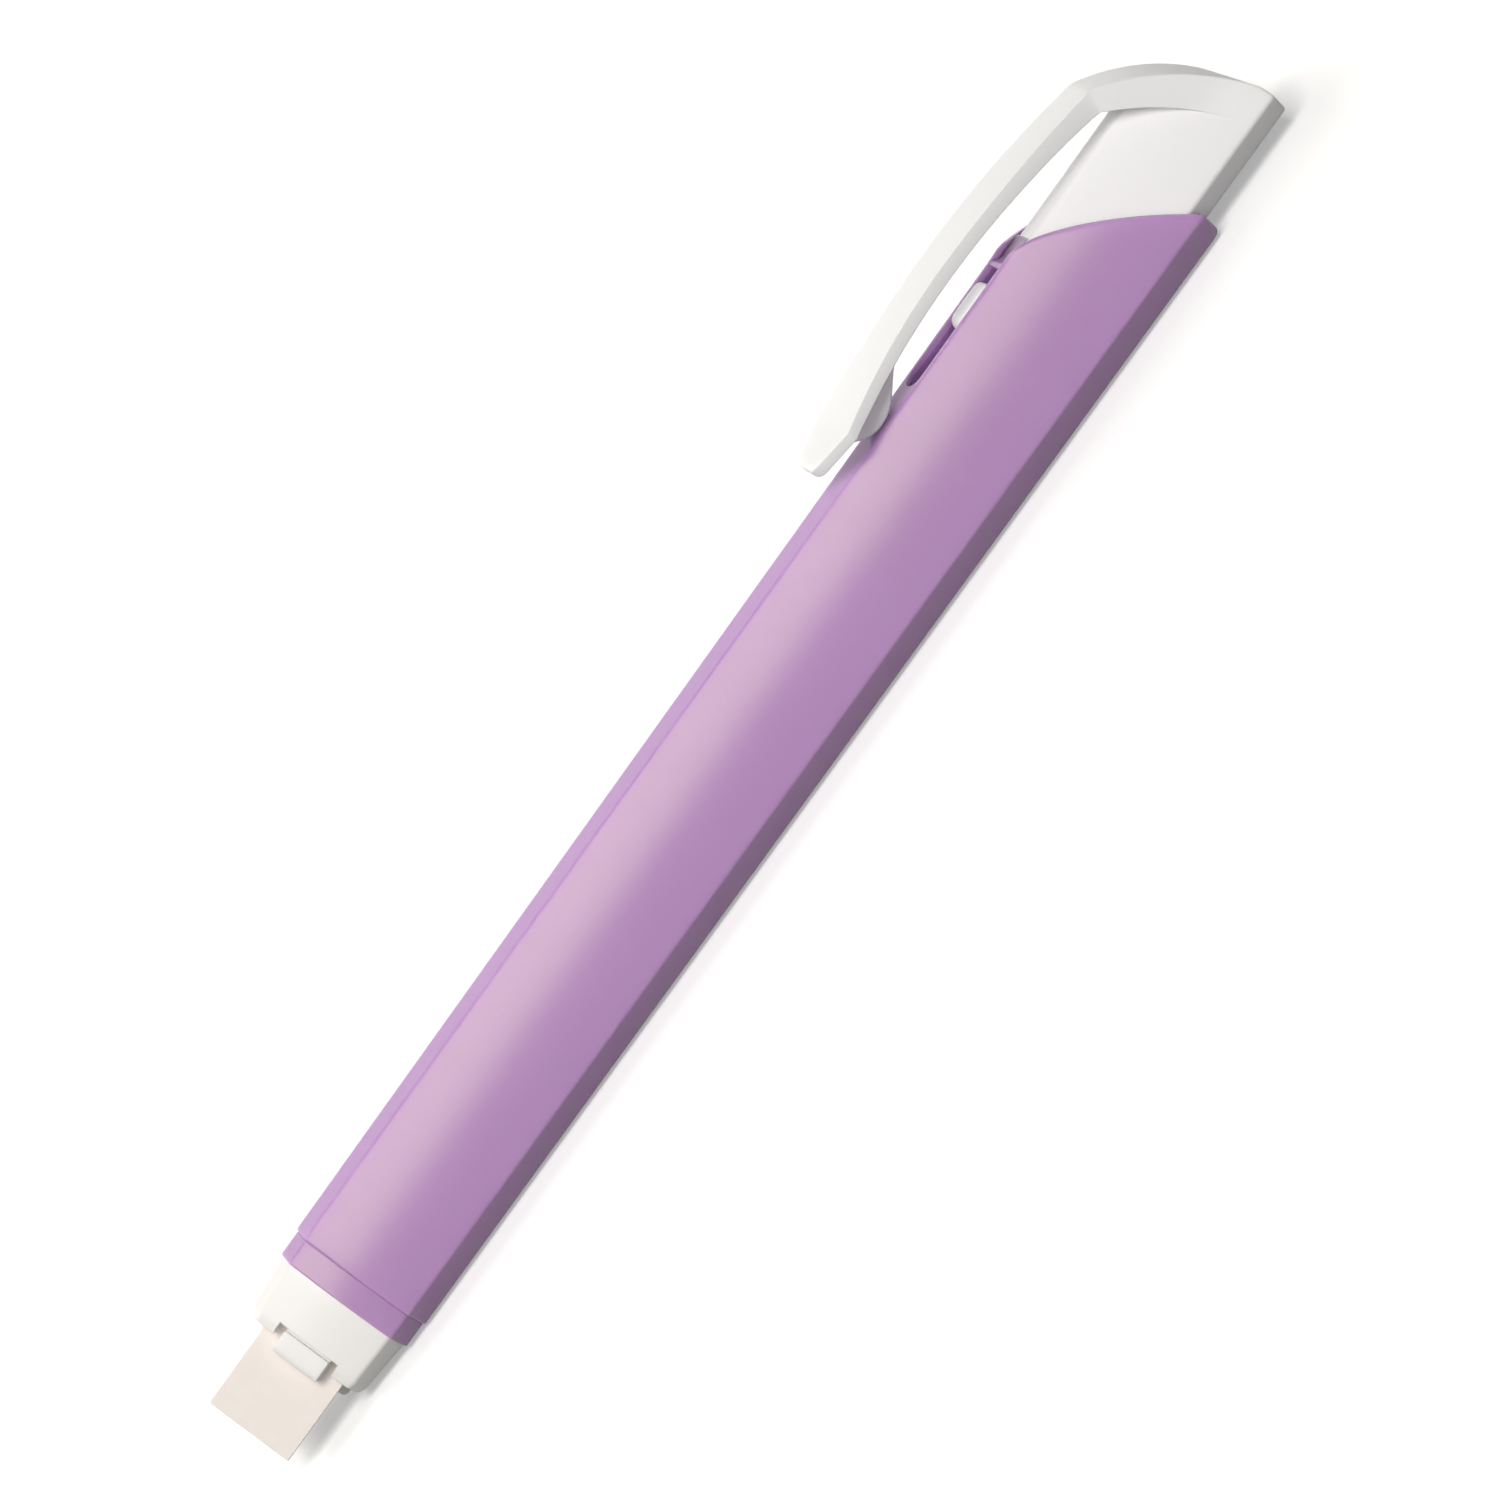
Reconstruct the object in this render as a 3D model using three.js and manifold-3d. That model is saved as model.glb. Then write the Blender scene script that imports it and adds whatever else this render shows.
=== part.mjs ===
import * as THREE from 'three';
import { mergeVertices } from 'three/addons/utils/BufferGeometryUtils.js';
import Module from 'manifold-3d';

// A push-button eraser holder: a three-sided barrel, three jaws round a triangular eraser stick,
// and a push cap with a pocket clip, pressed against a return spring.
// Millimetres. Along the holder x runs from the front face of the nose to the push cap, and z to the clip.
// The holder is sized from its eraser outwards, and from its nose backwards.

// Eraser stick
const eraserSide = 8.25;
const eraserLength = 76;
const eraserShowing = 7.9;
const eraserRetract = 7.5;
const eraserGap = 0.25;

// Barrel: front walls, flare to the rear, and the rise of each wide side at its middle
const tubeWall = 0.8;
const tubeGap = 0.3;
const sideWall = 0.89;
const cornerWall = 0.78;
const flareDepth = 0.39;
const sideRise = 0.45;
const sideFacets = 7;
const bandLength = 2.35;
const bandInset = 0.15;
const bandEdge = 0.2;

// Rear end of the barrel: its bore sits nearer the clip side, and its end slopes, gently first and then steeply
const rearSideWall = 0.65;
const rearCornerWall = 0.9;
const boreLift = 0.4;
const endLip = 13.25;
const endSlopeRun = 12;
const endSlopeLow = -2.4;
const endGentleRun = 3.25;
const endGentleDrop = 0.325;
const endSteepRun = 3.45;
const endSteepRise = 4.9;

// Nose
const noseLength = 5.45;
const noseFrontInset = 0.78;
const noseRearInset = 0.38;
const noseBevel = 0.25;
const noseBevelLength = 0.7;
const notchWidth = 5.95;
const notchDepth = 1.1;
const spigotLength = 8.05;
const socketWall = 0.62;
const socketGap = 0.1;
const mouthLength = 1.3;
const channelDepth = 0.15;

// Jaws
const jawWidth = 4.5;
const jawAhead = 1.15;
const jawClear = 0.2;
const jawSideGap = 0.3;
const jawThin = 0.62;
const jawOpening = 0.35;
const jawWedgeGap = 0.15;
const jawWedgeFlat = 0.4;
const jawHeadLip = 0.45;
const jawHeadBevel = 0.25;
const gripGap = 0.1;
const hookWidth = 6;
const hookLength = 1.2;
const hookNeck = 1.2;
const hookGap = 0.25;
const hookSunk = 0.1;

// Push button: its travel, its latch in the barrel's slot, its rod and its spring
const pressStroke = 5;
const runGap = 0.3;
const capGap = 0.25;
const slotSpare = 1.2;
const slotBehind = 1.5;
const slotStrap = 0.3;
const rampRun = 3;
const rampDrop = 0.8;
const slotWidth = 2.3;
const latchGap = 0.15;
const latchLength = 4.4;
const latchProud = 0.12;
const latchRamp = 0.6;
const latchRound = 0.15;
const tongueLength = 4;
const tongueSlit = 0.45;
const tongueRecess = 0.5;
const plugLength = 2.5;
const plugSpare = 0.9;
const plugGap = 0.1;
const flangeLength = 1;
const rodRadius = 2;
const rodGap = 0.1;
const bossWall = 0.7;
const bossLength = 13;
const springLength = 16.3;
const springWire = 0.6;
const springTurns = 8;
const springGap = 0.3;

// Push cap: its skirt in the barrel, its rounded end and the raised rim across it
const capShowing = 11.3;
const capWall = 0.9;
const capSideRise = 0.25;
const capCavityBack = 9;
const lidRun = 8.6;
const lidLow = -0.6;
const lidRadius = 22;
const rimDepth = 3.4;
const rimHalfWidth = 2.05;
const rimLean = 0.255;

// Clip: heights are above the barrel's top at its rear end
const clipReach = 38.55;
const clipThickness = 1.35;
const clipElbowRise = 3.07;
const clipElbowThickness = 2;
const clipCrownBack = 19.3;
const clipCrownRise = 4.72;
const clipCrownEase = 6;
const clipFlareEase = 5;
const clipFlareRise = 3.52;
const clipTipRise = 3.3;
const clipTipThickness = 1.2;
const clipWidth = 5;
const clipElbowWidth = 4.2;
const clipFlareWidth = 7.6;
const clipFlareStart = 15;
const clipFlareCurl = 5;
const clipFlareAhead = 4.3;
const clipTipWidth = 5;
const clipTipRound = 0.9;
const footAhead = 6.65;
const footWidth = 2.7;
const footFront = 3.5;
const footRear = 5.8;
const footGap = 0.22;
const footRound = 0.4;

// Sizes that follow, from the axis outwards
const eraserFace = eraserSide / (2 * Math.sqrt(3));
const eraserCorner = eraserSide / Math.sqrt(3);
const passageFace = eraserFace + eraserGap;
const passageCorner = eraserCorner + eraserGap;
const tubeFace = passageFace + tubeWall;
const tubeCorner = passageCorner + tubeWall;
const boreFace = tubeFace + tubeGap;
const boreCorner = tubeCorner + tubeGap;
const barrelFace = boreFace + sideWall;
const barrelCorner = boreCorner + cornerWall;
const barrelTop = barrelCorner + flareDepth;
const middleRise = sideRise * (1 - 1 / sideFacets ** 2);
const armIn = eraserFace + jawClear;
const thinOut = armIn + jawThin;
const wedgeOut = thinOut + jawOpening;
const mouthFace = wedgeOut + jawWedgeGap;
const channelFace = mouthFace + channelDepth;
const headOut = wedgeOut + jawHeadLip;
const skirtTop = barrelCorner - rearCornerWall - capGap + boreLift;

// Places that follow, from the nose backwards
const barrelFront = noseLength;
const bandEnd = barrelFront + bandLength;
const spigotEnd = noseLength + spigotLength;
const socketEnd = spigotEnd + runGap;
const tubeFront = spigotEnd + pressStroke + 2 * runGap;
const hookFront = tubeFront + hookNeck + hookGap;
const hookRear = hookFront + hookLength;
const plugFront = eraserLength - eraserShowing + eraserRetract + plugSpare;
const tubeRear = plugFront + plugLength;
const seatX = tubeRear + runGap;
const skirtFront = seatX + springLength;
const latchFront = skirtFront + tongueLength;
const latchRear = latchFront + latchLength;
const slotRear = latchRear + slotBehind;
const slotFront = latchFront - pressStroke - slotSpare;
const barrelEnd = slotRear + endLip;
const capEnd = barrelEnd + capShowing;
const cavityEnd = capEnd - capCavityBack;
const bossFront = cavityEnd - bossLength;
const elbowX = capEnd - lidRun;
const elbowZ = barrelTop + clipElbowRise;
const tipX = elbowX - clipReach;

// Cutting bodies run this far past what they cut
const past = 1;
const far = 30;
const weldGap = 1e-4;

const wasm = await Module();
wasm.setup();

function solid(geometry) {
  geometry.deleteAttribute('normal');
  geometry.deleteAttribute('uv');
  const { index, attributes } = mergeVertices(geometry, weldGap);
  const mesh = new wasm.Mesh({
    numProp: 3,
    vertProperties: Float32Array.from(attributes.position.array),
    triVerts: Uint32Array.from(index.array),
  });
  return new wasm.Manifold(mesh);
}

function piece(name, body, material) {
  const { vertProperties, triVerts } = body.getMesh();
  const geometry = new THREE.BufferGeometry();
  geometry.setAttribute('position', new THREE.BufferAttribute(vertProperties, 3));
  geometry.setIndex(new THREE.BufferAttribute(triVerts, 1));
  geometry.computeVertexNormals();
  const mesh = new THREE.Mesh(geometry, material);
  mesh.name = name;
  return mesh;
}

// A section across the holder: three wide sides, each rising in a shallow curve, and three narrow flats.
// face and corner are the distances from the axis to the edges of a wide side and to a flat.
function section(face, corner, rise) {
  const half = (corner - face / 2) / Math.cos(Math.PI / 6);
  const points = [];
  for (let side = 0; side < 3; side += 1) {
    const turn = Math.PI / 6 + (side * 2 * Math.PI) / 3;
    for (let step = 0; step <= sideFacets; step += 1) {
      const along = half * ((2 * step) / sideFacets - 1);
      const out = face + rise * (1 - (along / half) ** 2);
      const y = out * Math.cos(turn) - along * Math.sin(turn);
      const z = out * Math.sin(turn) + along * Math.cos(turn);
      points.push(new THREE.Vector2(y, z));
    }
  }
  return points;
}

function flareAt(x) {
  return (flareDepth * (x - bandEnd)) / (barrelEnd - bandEnd);
}

function barrelSection(x, inset) {
  const flare = flareAt(x);
  return section(barrelFace + flare - inset, barrelCorner + flare - inset, sideRise);
}

// The rear bore, and with an inset the push cap that runs in it.
function boreSection(x, inset, rise) {
  const face = barrelFace + flareAt(x) - rearSideWall - inset;
  const corner = barrelCorner + flareAt(x) - rearCornerWall - inset;
  const points = section(face, corner, rise);
  points.forEach((point) => { point.y += boreLift; });
  return points;
}

// A closed skin through sections, given as pairs of a place along x and the section there.
function loft(rings) {
  const count = rings[0][1].length;
  const positions = rings.flatMap(([x, points]) => points.flatMap((p) => [x, p.x, p.y]));
  const index = [];
  for (let ring = 0; ring < rings.length - 1; ring += 1) {
    for (let i = 0; i < count; i += 1) {
      const a = ring * count + i;
      const b = ring * count + ((i + 1) % count);
      index.push(a, b, b + count, a, b + count, a + count);
    }
  }
  const last = (rings.length - 1) * count;
  for (let i = 1; i < count - 1; i += 1) {
    index.push(0, i + 1, i, last, last + i, last + i + 1);
  }
  const geometry = new THREE.BufferGeometry();
  geometry.setAttribute('position', new THREE.Float32BufferAttribute(positions, 3));
  geometry.setIndex(index);
  return solid(geometry);
}

function prism(from, to, points) {
  return loft([[from, points], [to, points]]);
}

function box(fromX, toX, halfY, fromZ, toZ) {
  const geometry = new THREE.BoxGeometry(toX - fromX, 2 * halfY, toZ - fromZ);
  geometry.translate((fromX + toX) / 2, 0, (fromZ + toZ) / 2);
  return solid(geometry);
}

function rod(fromX, toX, radius) {
  const geometry = new THREE.CylinderGeometry(radius, radius, toX - fromX, 24);
  geometry.rotateZ(-Math.PI / 2);
  geometry.translate((fromX + toX) / 2, 0, 0);
  return solid(geometry);
}

// A side outline, drawn in x and z, carried across the holder to halfWidth each way.
function acrossY(shape, halfWidth, bevel = 0) {
  const geometry = new THREE.ExtrudeGeometry(shape, {
    depth: 2 * (halfWidth - bevel),
    curveSegments: 10,
    bevelEnabled: bevel > 0,
    bevelThickness: bevel,
    bevelSize: bevel,
    bevelOffset: -bevel,
    bevelSegments: 2,
  });
  geometry.rotateX(Math.PI / 2);
  geometry.translate(0, halfWidth - bevel, 0);
  return solid(geometry);
}

// A plan outline, drawn in x and y, carried up from one height to another.
function upZ(shape, fromZ, toZ) {
  const geometry = new THREE.ExtrudeGeometry(shape, {
    depth: toZ - fromZ,
    curveSegments: 10,
    bevelEnabled: false,
  });
  geometry.translate(0, 0, fromZ);
  return solid(geometry);
}

// The same cut at the middle of each wide side. The cut is drawn for a side that faces +z.
function onEachSide(cut) {
  return [60, -60, 180].map((turn) => cut.rotate([turn, 0, 0]));
}

function cutAll(body, cuts) {
  return cuts.reduce((left, cut) => left.subtract(cut), body);
}

function plastic(color, roughness) {
  return new THREE.MeshStandardMaterial({ color, roughness, metalness: 0 });
}

function makeBarrel() {
  const outside = loft([
    [barrelFront, barrelSection(barrelFront, bandInset + bandEdge)],
    [barrelFront + bandEdge, barrelSection(barrelFront + bandEdge, bandInset)],
    [bandEnd, barrelSection(bandEnd, bandInset)],
    [bandEnd + bandInset, barrelSection(bandEnd + bandInset, 0)],
    [barrelEnd, barrelSection(barrelEnd, 0)],
  ]);
  const socket = loft([
    [barrelFront - past, barrelSection(barrelFront, socketWall)],
    [socketEnd, barrelSection(barrelFront, socketWall)],
  ]);
  const frontBore = prism(socketEnd - past, seatX + past, section(boreFace, boreCorner, 0));
  const rearBore = loft([
    [seatX, boreSection(seatX, 0, sideRise)],
    [barrelEnd + past, boreSection(barrelEnd + past, 0, sideRise)],
  ]);

  // The rear end slopes down from the clip side in a shallow bow.
  const slopeX = barrelEnd - endSlopeRun;
  const gentle = [slopeX + endGentleRun, barrelTop - endGentleDrop];
  const steep = [barrelEnd - endSteepRun, endSlopeLow + endSteepRise];
  const slope = new THREE.Shape();
  slope.moveTo(slopeX, barrelTop);
  slope.bezierCurveTo(...gentle, ...steep, barrelEnd, endSlopeLow);
  slope.lineTo(barrelEnd + far, endSlopeLow);
  slope.lineTo(barrelEnd + far, barrelTop + far);
  slope.lineTo(slopeX, barrelTop + far);

  const slot = new THREE.Shape();
  slot.moveTo(slotRear, -slotWidth / 2);
  slot.lineTo(slotRear, slotWidth / 2);
  slot.lineTo(slotFront + slotWidth / 2, slotWidth / 2);
  slot.absarc(slotFront + slotWidth / 2, 0, slotWidth / 2, Math.PI / 2, (3 * Math.PI) / 2);

  // Behind the slot, past a narrow strap, a ramp leads the latch in.
  const rampX = slotRear + slotStrap;
  const rampZ = barrelCorner + flareAt(rampX);
  const ramp = new THREE.Shape();
  ramp.moveTo(rampX, rampZ);
  ramp.lineTo(rampX + rampRun, rampZ - rampDrop);
  ramp.lineTo(barrelEnd, rampZ - rampDrop);
  ramp.lineTo(barrelEnd, rampZ + far);
  ramp.lineTo(rampX, rampZ + far);

  const cuts = [
    socket,
    frontBore,
    rearBore,
    acrossY(slope, far),
    acrossY(ramp, slotWidth / 2),
    upZ(slot, barrelFace, barrelTop + far),
  ];
  return piece('barrel', cutAll(outside, cuts), plastic(0xc39bc6, 0.35));
}

function noseSection(inset) {
  return section(barrelFace - inset, barrelCorner - inset, sideRise);
}

function makeNose() {
  const slant = (noseFrontInset - noseRearInset) / noseLength;
  const outside = loft([
    [0, noseSection(noseFrontInset + noseBevel)],
    [noseBevelLength, noseSection(noseFrontInset - slant * noseBevelLength)],
    [noseLength - runGap / 2, noseSection(noseRearInset)],
  ]);
  const spigot = prism(noseLength - past, spigotEnd, noseSection(socketWall + socketGap));
  const passage = prism(-past, spigotEnd + past, section(passageFace, passageCorner, 0));
  const channelWidth = jawWidth / 2 + jawSideGap;
  const mouthEnd = notchDepth + mouthLength;
  const cuts = [
    passage,
    ...onEachSide(box(-past, notchDepth, notchWidth / 2, 0, far)),
    ...onEachSide(box(0, mouthEnd, channelWidth, 0, mouthFace)),
    ...onEachSide(box(mouthEnd - runGap, spigotEnd + past, channelWidth, 0, channelFace)),
  ];
  return piece('nose_tip', cutAll(outside.add(spigot), cuts), plastic(0xf2f0ee, 0.4));
}

// One jaw, drawn for a wide side that faces +z: a head outside the nose, a wedge under the nose's lip,
// a thin springy arm, and a cross-bar that hooks into the eraser tube.
function makeJaw(name) {
  const headFront = -jawAhead;
  const headBack = notchDepth - runGap;
  const headIn = eraserFace + gripGap;
  const wedgeEnd = notchDepth + jawWedgeFlat;
  const thinX = notchDepth + mouthLength + pressStroke;
  const outline = new THREE.Shape();
  outline.moveTo(headFront, headIn);
  outline.lineTo(headBack + jawHeadLip, headIn);
  outline.lineTo(headBack + 2 * jawHeadLip, armIn);
  outline.lineTo(hookRear, passageFace);
  outline.lineTo(hookRear, tubeFace - hookSunk);
  outline.lineTo(tubeFront, tubeFace - hookSunk);
  outline.lineTo(thinX, thinOut);
  outline.lineTo(wedgeEnd, wedgeOut);
  outline.lineTo(headBack, wedgeOut);
  outline.lineTo(headBack, headOut);
  outline.lineTo(headFront + jawHeadBevel, headOut);
  outline.lineTo(headFront, headOut - jawHeadBevel);
  const arm = acrossY(outline, jawWidth / 2);
  const hook = box(hookFront, hookRear, hookWidth / 2, passageFace, tubeFace - hookSunk);
  return piece(name, arm.add(hook), plastic(0xf4f2ef, 0.4));
}

function makeTube() {
  const outside = prism(tubeFront, tubeRear, section(tubeFace, tubeCorner, 0));
  const passage = prism(tubeFront - past, tubeRear + past, section(passageFace, passageCorner, 0));
  const neck = box(tubeFront - past, hookFront, jawWidth / 2 + hookGap, 0, far);
  const pocket = box(hookFront - hookGap, hookRear + hookGap, hookWidth / 2 + hookGap, 0, far);
  const cuts = [passage, ...onEachSide(neck), ...onEachSide(pocket)];
  return piece('eraser_tube', cutAll(outside, cuts), plastic(0xe9e7e4, 0.45));
}

function makePushRod() {
  const plug = prism(plugFront, tubeRear, section(passageFace - plugGap, passageCorner - plugGap, 0));
  const flange = rod(tubeRear - past / 2, tubeRear + flangeLength, passageFace - plugGap);
  const shaft = rod(tubeRear, cavityEnd - runGap, rodRadius);
  return piece('push_rod', plug.add(flange).add(shaft), plastic(0xe4e2df, 0.45));
}

class Helix extends THREE.Curve {
  constructor(radius, length, turns) {
    super();
    this.radius = radius;
    this.length = length;
    this.turns = turns;
  }

  getPoint(t, target = new THREE.Vector3()) {
    const angle = 2 * Math.PI * this.turns * t;
    return target.set(this.length * t, this.radius * Math.cos(angle), this.radius * Math.sin(angle));
  }
}

function makeSpring() {
  const room = barrelFace + flareAt(seatX) - rearSideWall + middleRise;
  const radius = room - springGap - springWire / 2;
  const inset = springWire / 2 + runGap / 2;
  const wire = new THREE.Shape();
  wire.absarc(0, 0, springWire / 2, 0, 2 * Math.PI);
  const geometry = new THREE.ExtrudeGeometry(wire, {
    extrudePath: new Helix(radius, springLength - 2 * inset, springTurns),
    steps: springTurns * 16,
    curveSegments: 3,
  });
  const steel = new THREE.MeshStandardMaterial({ color: 0xb9bcc0, roughness: 0.3, metalness: 1 });
  const mesh = piece('return_spring', solid(geometry), steel);
  mesh.position.set(seatX + inset, 0, boreLift);
  return mesh;
}

// The lid's arc in x and z runs from the foot of the cap's end up to the clip's elbow.
function lidArc() {
  const chord = new THREE.Vector2(elbowX - capEnd, elbowZ - lidLow);
  const half = chord.length() / 2;
  const inward = new THREE.Vector2(-chord.y, chord.x).normalize();
  const depth = Math.sqrt(lidRadius ** 2 - half ** 2);
  const x = (capEnd + elbowX) / 2 + inward.x * depth;
  const z = (lidLow + elbowZ) / 2 + inward.y * depth;
  return {
    x,
    z,
    low: Math.atan2(lidLow - z, capEnd - x),
    high: Math.atan2(elbowZ - z, elbowX - x),
  };
}

function makeRim(arc) {
  const low = lidLow - rimDepth / 2;
  const outline = new THREE.Shape();
  outline.moveTo(capEnd - rimDepth, low);
  outline.lineTo(capEnd, low);
  outline.lineTo(capEnd, lidLow);
  outline.absarc(arc.x, arc.z, lidRadius, arc.low, arc.high, false);
  outline.lineTo(elbowX - rimDepth, elbowZ);
  outline.absarc(arc.x - rimDepth, arc.z, lidRadius, arc.high, arc.low, true);

  // Its sides lean in towards the clip.
  const lowHalf = rimHalfWidth + rimLean * (elbowZ - low);
  const across = [
    new THREE.Vector2(lowHalf, low),
    new THREE.Vector2(rimHalfWidth, elbowZ),
    new THREE.Vector2(-rimHalfWidth, elbowZ),
    new THREE.Vector2(-lowHalf, low),
  ];
  return acrossY(outline, far).intersect(prism(elbowX - far, capEnd + past, across));
}

function makeClip() {
  const crownX = elbowX - clipCrownBack;
  const crownZ = barrelTop + clipCrownRise;
  const flareX = tipX + clipFlareAhead;
  const flareZ = barrelTop + clipFlareRise;
  const tipZ = barrelTop + clipTipRise;
  const half = clipThickness / 2;
  const crownUnder = crownZ - clipThickness;
  const easeX = crownX - clipCrownEase;
  const curlX = flareX + clipFlareEase;

  // From the elbow the arm bows up to its crown, dips to its flared end and levels out at the tip.
  const side = new THREE.Shape();
  side.moveTo(elbowX, elbowZ);
  side.quadraticCurveTo((elbowX + crownX) / 2, crownZ, crownX, crownZ);
  side.bezierCurveTo(easeX, crownZ, curlX, flareZ + half, flareX, flareZ);
  side.lineTo(tipX, tipZ);
  side.lineTo(tipX, tipZ - clipTipThickness);
  side.lineTo(flareX, flareZ - clipTipThickness);
  side.bezierCurveTo(curlX, flareZ - half, easeX, crownUnder, crownX, crownUnder);
  side.quadraticCurveTo((elbowX + crownX) / 2, crownUnder, elbowX - half, elbowZ - clipElbowThickness);

  // In plan it widens in a curve to a kink and narrows again to a tip with cut corners.
  const plan = new THREE.Shape();
  const armX = crownX + clipCrownBack / 2;
  const waistX = flareX + clipFlareStart;
  const bendX = flareX + clipFlareCurl;
  plan.moveTo(elbowX + past, clipElbowWidth / 2);
  plan.lineTo(armX, clipWidth / 2);
  plan.lineTo(waistX, clipWidth / 2);
  plan.quadraticCurveTo(bendX, clipWidth / 2, flareX, clipFlareWidth / 2);
  plan.lineTo(tipX + clipTipRound, clipTipWidth / 2);
  plan.lineTo(tipX, clipTipWidth / 2 - clipTipRound);
  plan.lineTo(tipX, clipTipRound - clipTipWidth / 2);
  plan.lineTo(tipX + clipTipRound, -clipTipWidth / 2);
  plan.lineTo(flareX, -clipFlareWidth / 2);
  plan.quadraticCurveTo(bendX, -clipWidth / 2, waistX, -clipWidth / 2);
  plan.lineTo(armX, -clipWidth / 2);
  plan.lineTo(elbowX + past, -clipElbowWidth / 2);
  const arm = acrossY(side, far).intersect(upZ(plan, 0, far));

  // A rounded foot under the flared end rests on the barrel.
  const footX = tipX + footAhead;
  const footZ = barrelCorner + flareAt(footX) + footGap;
  const footTop = flareZ - half;
  const bump = new THREE.Shape();
  bump.moveTo(footX - footFront, footTop);
  bump.quadraticCurveTo(footX - footFront / 2, footZ, footX, footZ);
  bump.quadraticCurveTo(footX + footRear / 3, footZ, footX + footRear, footTop + half / 2);
  return arm.add(acrossY(bump, footWidth / 2, footRound));
}

function makeLatch() {
  const flare = flareAt(latchFront);
  const top = barrelCorner + flare + latchProud;
  const bottom = skirtTop + flare - capWall / 2;
  const outline = new THREE.Shape();
  outline.moveTo(latchFront, bottom);
  outline.lineTo(latchRear, bottom);
  outline.lineTo(latchRear, top);
  outline.lineTo(latchFront + latchRamp, top);
  outline.lineTo(latchFront, top - latchRamp);
  return acrossY(outline, slotWidth / 2 - latchGap, latchRound);
}

function makePushCap() {
  const arc = lidArc();
  const skirt = loft([
    [skirtFront, boreSection(skirtFront, capGap, capSideRise)],
    [capEnd + past, boreSection(capEnd + past, capGap, capSideRise)],
  ]);
  const kept = new THREE.Shape();
  kept.moveTo(skirtFront - past, -far);
  kept.lineTo(capEnd, -far);
  kept.lineTo(capEnd, lidLow);
  kept.absarc(arc.x, arc.z, lidRadius, arc.low, arc.high, false);
  kept.lineTo(skirtFront - past, elbowZ);

  const cavity = loft([
    [skirtFront - past, boreSection(skirtFront, capGap + capWall, capSideRise)],
    [cavityEnd, boreSection(cavityEnd, capGap + capWall, capSideRise)],
  ]);
  const boss = rod(bossFront, cavityEnd + past, rodRadius + rodGap + bossWall);
  const socket = rod(bossFront - past, cavityEnd, rodRadius + rodGap);

  // Slits beside and behind the latch and a thinner tongue ahead of it let it spring.
  const latchHalf = slotWidth / 2 - latchGap;
  const slitLow = skirtTop - capWall - past;
  const slit = box(latchFront - tongueLength / 2, latchRear, tongueSlit / 2, slitLow, barrelTop);
  const slitY = latchHalf + tongueSlit;
  const slitBack = box(latchRear, latchRear + tongueSlit, slitY + tongueSlit / 2, slitLow, barrelTop);
  const recessLow = skirtTop + flareAt(skirtFront) - tongueRecess;
  const recess = box(skirtFront - past, latchFront, slitY, recessLow, barrelTop);
  const cuts = [slit.translate([0, slitY, 0]), slit.translate([0, -slitY, 0]), slitBack, recess];

  const shell = skirt.intersect(acrossY(kept, far)).subtract(cavity);
  const hollow = cutAll(shell.add(boss), [socket]);
  const topped = hollow.add(makeRim(arc)).add(makeClip());
  return piece('push_cap', cutAll(topped, cuts).add(makeLatch()), plastic(0xf4f2f0, 0.38));
}

function makeEraser() {
  const points = [];
  for (let corner = 0; corner < 3; corner += 1) {
    const turn = Math.PI / 2 + (corner * 2 * Math.PI) / 3;
    points.push(new THREE.Vector2(eraserCorner * Math.cos(turn), eraserCorner * Math.sin(turn)));
  }
  const stick = prism(0, eraserLength, points);
  const mesh = piece('eraser_stick', stick, plastic(0xefe6df, 0.85));
  mesh.position.x = -eraserShowing;
  return mesh;
}

// The barrel's flare would leave the holder nose down, so the axis is turned until the lower side lies level.
const lying = new THREE.Group();
const tilt = Math.atan(flareDepth / (barrelEnd - bandEnd));
const restSide = barrelFace + flareAt(0) + middleRise;
lying.rotation.y = -tilt;
lying.position.set(((eraserShowing - capEnd) / 2) * Math.cos(tilt), 0, restSide * Math.cos(tilt));
lying.add(makeBarrel(), makeNose(), makeTube(), makePushRod(), makeSpring(), makePushCap(), makeEraser());

const thirdTurn = (2 * Math.PI) / 3;
['jaw_front', 'jaw_under', 'jaw_back'].forEach((name, side) => {
  const place = new THREE.Group();
  place.rotation.x = Math.PI / 3 + side * thirdTurn;
  place.add(makeJaw(name));
  lying.add(place);
});

const holder = new THREE.Group();
holder.add(lying);

export default holder;
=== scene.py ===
import bpy
import numpy as np
from mathutils import Matrix


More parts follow.
